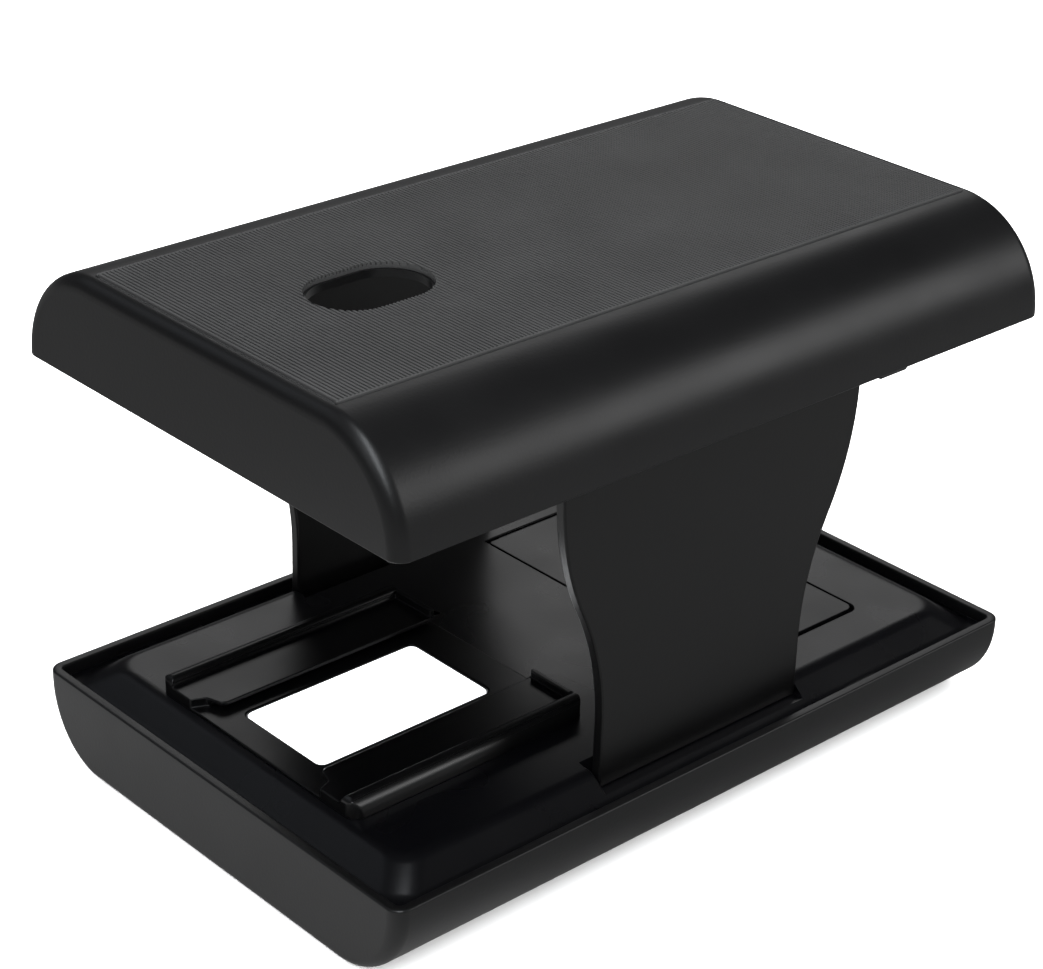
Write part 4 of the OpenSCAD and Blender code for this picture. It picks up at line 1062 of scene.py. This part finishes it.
# ------------------------------------------------------------------ grip mat
# A soft rubber mat glued into the cover's pocket. Fine ribs run across it from front to back
# and keep the telephone from sliding. They end in a smooth border along both long edges.
mat_low, mat_high = [Vector(corner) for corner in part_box("grip_mat")]
MAT_RUBBER = rubber("ribbed mat rubber", (0.0235, 0.0237, 0.0241), 0.6)
RIB_PITCH, RIB_W, RIB_R, MAT_BASE = 0.82 * MM, 0.54 * MM, 0.12 * MM, 0.6 * MM
MAT_PLAY, BORDER_W, HOLE_PLAY = 0.3 * MM, 0.5 * MM, 0.6 * MM
mat_half, border_y = MAT_L / 2 - MAT_PLAY, MAT_W / 2 - MAT_PLAY
base, top = mat_low.z + MAT_BASE, mat_high.z
ribs = int((2 * mat_half - RIB_W) / RIB_PITCH)
rise = [(RIB_W / 2, base), (RIB_W / 2 - 0.02 * MM, top - RIB_R),
        (RIB_W / 2 - 0.6 * RIB_R, top - 0.25 * RIB_R), (RIB_W / 2 - 1.3 * RIB_R, top)]
comb = [(mat_half, base), (mat_half, mat_low.z), (-mat_half, mat_low.z), (-mat_half, base)]
for i in range(ribs + 1):
    rib_x = (i - ribs / 2) * RIB_PITCH
    comb += [(rib_x - x, z) for x, z in rise] + [(rib_x + x, z) for x, z in reversed(rise)]
mat = prism("grip_mat_rubber", comb, BORDER_W / 2 - border_y, border_y - BORDER_W / 2, "Y", MAT_RUBBER)
crown, border_low = top - 0.03 * MM, mat_low.z + 0.1 * MM
border = [(border_y - BORDER_W, border_low), (border_y, border_low)]
border += arc((border_y - RIB_R, crown - RIB_R), RIB_R, 0, 90, 4)
border += arc((border_y - BORDER_W + RIB_R, crown - RIB_R), RIB_R, 90, 180, 4)
border_half = mat_half + 0.02 * MM
for s in (-1, 1):
    carve(mat, prism("border", [(s * y, z) for y, z in border], -border_half, border_half), "UNION")
carve(mat, prism("mat hole", aperture_outline(APERTURE_R + HOLE_PLAY), mat_low.z - 1 * MM, top + 1 * MM, "Z"))
stands_for(mat, "grip_mat", "cover")


# ------------------------------------------------------------------ closing catches
# A springy black tongue under each long edge of the cover, on a pad moulded to the side wall.
# Folded, its barb snaps into a slot in the deck's trough.
CATCH_BLACK = moulded("black catch plastic", (0.003, 0.003, 0.0032), 0.38, 2200)
CATCH_Y, CATCH_HALF, CATCH_T, CATCH_DROP, CATCH_H = 50.5 * MM, 3.55 * MM, 1.2 * MM, 2.5 * MM, 6.4 * MM
PAD_HALF, PAD_T, PAD_LOW, PAD_HIGH, PAD_STEPS = 4.45 * MM, 0.5 * MM, 2.6 * MM, 7.6 * MM, 6
edge_z, tip_z = cover_low.z, cover_low.z - CATCH_DROP
outside, inside = -CATCH_Y, CATCH_T - CATCH_Y
catch_outline = [(outside, tip_z + CATCH_H), (outside, tip_z + 0.9 * MM),
                 (outside + 0.35 * MM, tip_z + 0.2 * MM), (outside + 0.6 * MM, tip_z),
                 (inside - 0.2 * MM, tip_z), (inside, tip_z + 0.25 * MM), (inside, tip_z + CATCH_H)]
catch = prism("catch", catch_outline, CATCH_X - CATCH_HALF, CATCH_X + CATCH_HALF, material=CATCH_BLACK)


def cover_inside_y(z):
    """Half width of the cover's hollow at a height above its lower edge"""
    straight = COVER_H - COVER_SIDE_R
    return COVER_W / 2 - COVER_SIDE_R + sqrt((COVER_SIDE_R - WALL) ** 2 - max(0, z - straight) ** 2)


pad_heights = [PAD_LOW + (PAD_HIGH - PAD_LOW) * i / PAD_STEPS for i in range(PAD_STEPS + 1)]
pad = [(-cover_inside_y(z), z + edge_z) for z in pad_heights]
pad += [(inside + PAD_T, z + edge_z) for z in (PAD_HIGH, PAD_LOW)]
carve(catch, prism("pad", pad, CATCH_X - PAD_HALF, CATCH_X + PAD_HALF), "UNION")
catches = repeated("catch_pair", catch, [Matrix.Identity(4), HALF_TURN])
soften(catches, 0.15 * MM)
stands_for(catches, "closing_catches", "cover")


# ------------------------------------------------------------------ hinge brackets
# Two black brackets for each leg, screwed to the cover's ceiling. Each has a foot, a leaning
# ear, and a bore in the ear's round end for a leg pin.
BRACKET_BLACK = moulded("black bracket plastic", (0.005, 0.005, 0.0053), 0.42, 1900)
EAR_X, EAR_T, EAR_R = NECK_HALF + 0.5 * MM, 3 * MM, 2.4 * MM
EAR_FOOT_Y0, EAR_FOOT_Y1, EAR_FOOT_L, EAR_FOOT_T = 25 * MM, 32.8 * MM, 7 * MM, 1.6 * MM
COVER_CEILING = cover_high.z - CEILING_T
BRACKET_SCREW_X, BRACKET_SCREW_Y = EAR_X + EAR_T + EAR_FOOT_L / 2, 29 * MM


def make_bracket(pin_z):
    """Bracket at +X and +Y: the ear with its eye, and the foot with its screw hole"""
    web = [(LEG_Y + 0.6 * MM, pin_z + 2.3 * MM), (EAR_FOOT_Y1, COVER_CEILING), (EAR_FOOT_Y0, COVER_CEILING),
           (LEG_Y - 2.2 * MM, pin_z - 1 * MM), (LEG_Y, pin_z - 1 * MM)]
    bracket = prism("bracket", web, EAR_X, EAR_X + EAR_T, material=BRACKET_BLACK)
    eye = [(0, EAR_X), (EAR_R, EAR_X), (EAR_R, EAR_X + EAR_T), (0, EAR_X + EAR_T)]
    carve(bracket, lathe("eye", (0, LEG_Y, pin_z), eye, "X", steps=40), "UNION")
    carve(bracket, block("foot", (EAR_X, EAR_FOOT_Y0, COVER_CEILING - EAR_FOOT_T),
                         (EAR_X + EAR_T + EAR_FOOT_L, EAR_FOOT_Y1, COVER_CEILING)), "UNION")
    carve(bracket, rod((0, LEG_Y, pin_z), PIN_R + 0.05 * MM, EAR_X - 1 * MM, EAR_X + 2 * EAR_T, "X"))
    carve(bracket, rod((BRACKET_SCREW_X, BRACKET_SCREW_Y, COVER_CEILING), PILOT_R, -5 * MM, 5 * MM))
    return bracket


MIRROR_X = Matrix.Scale(-1, 4, (1, 0, 0))
for name, side in (("front_hinge_brackets", -1), ("back_hinge_brackets", 1)):
    over = Matrix.Scale(side, 4, (0, 1, 0))
    brackets = repeated(name + "_pair", make_bracket(pin_heights[side]), [over, over @ MIRROR_X])
    soften(brackets, 0.25 * MM)
    stands_for(brackets, name, "cover")


# ------------------------------------------------------------------ bracket screws
# Four small plated screws that hold the brackets' feet to the cover, heads down. They are the
# deck's screws again, with a smaller head and a shorter shank.
SMALL_HEAD_R, SMALL_HEAD_H, SMALL_PITCH = 2.1 * MM, 1.2 * MM, 0.5 * MM
bracket_screw = cross_screw(SMALL_HEAD_R, SMALL_HEAD_H, EAR_FOOT_T, SMALL_PITCH)
screw_z = COVER_CEILING - EAR_FOOT_T - SMALL_HEAD_H
bracket_screws = repeated("bracket_screw_set", bracket_screw, [
    (sx * BRACKET_SCREW_X, sy * BRACKET_SCREW_Y, screw_z) for sx, sy in CORNERS])
stands_for(bracket_screws, "bracket_screws", "cover")
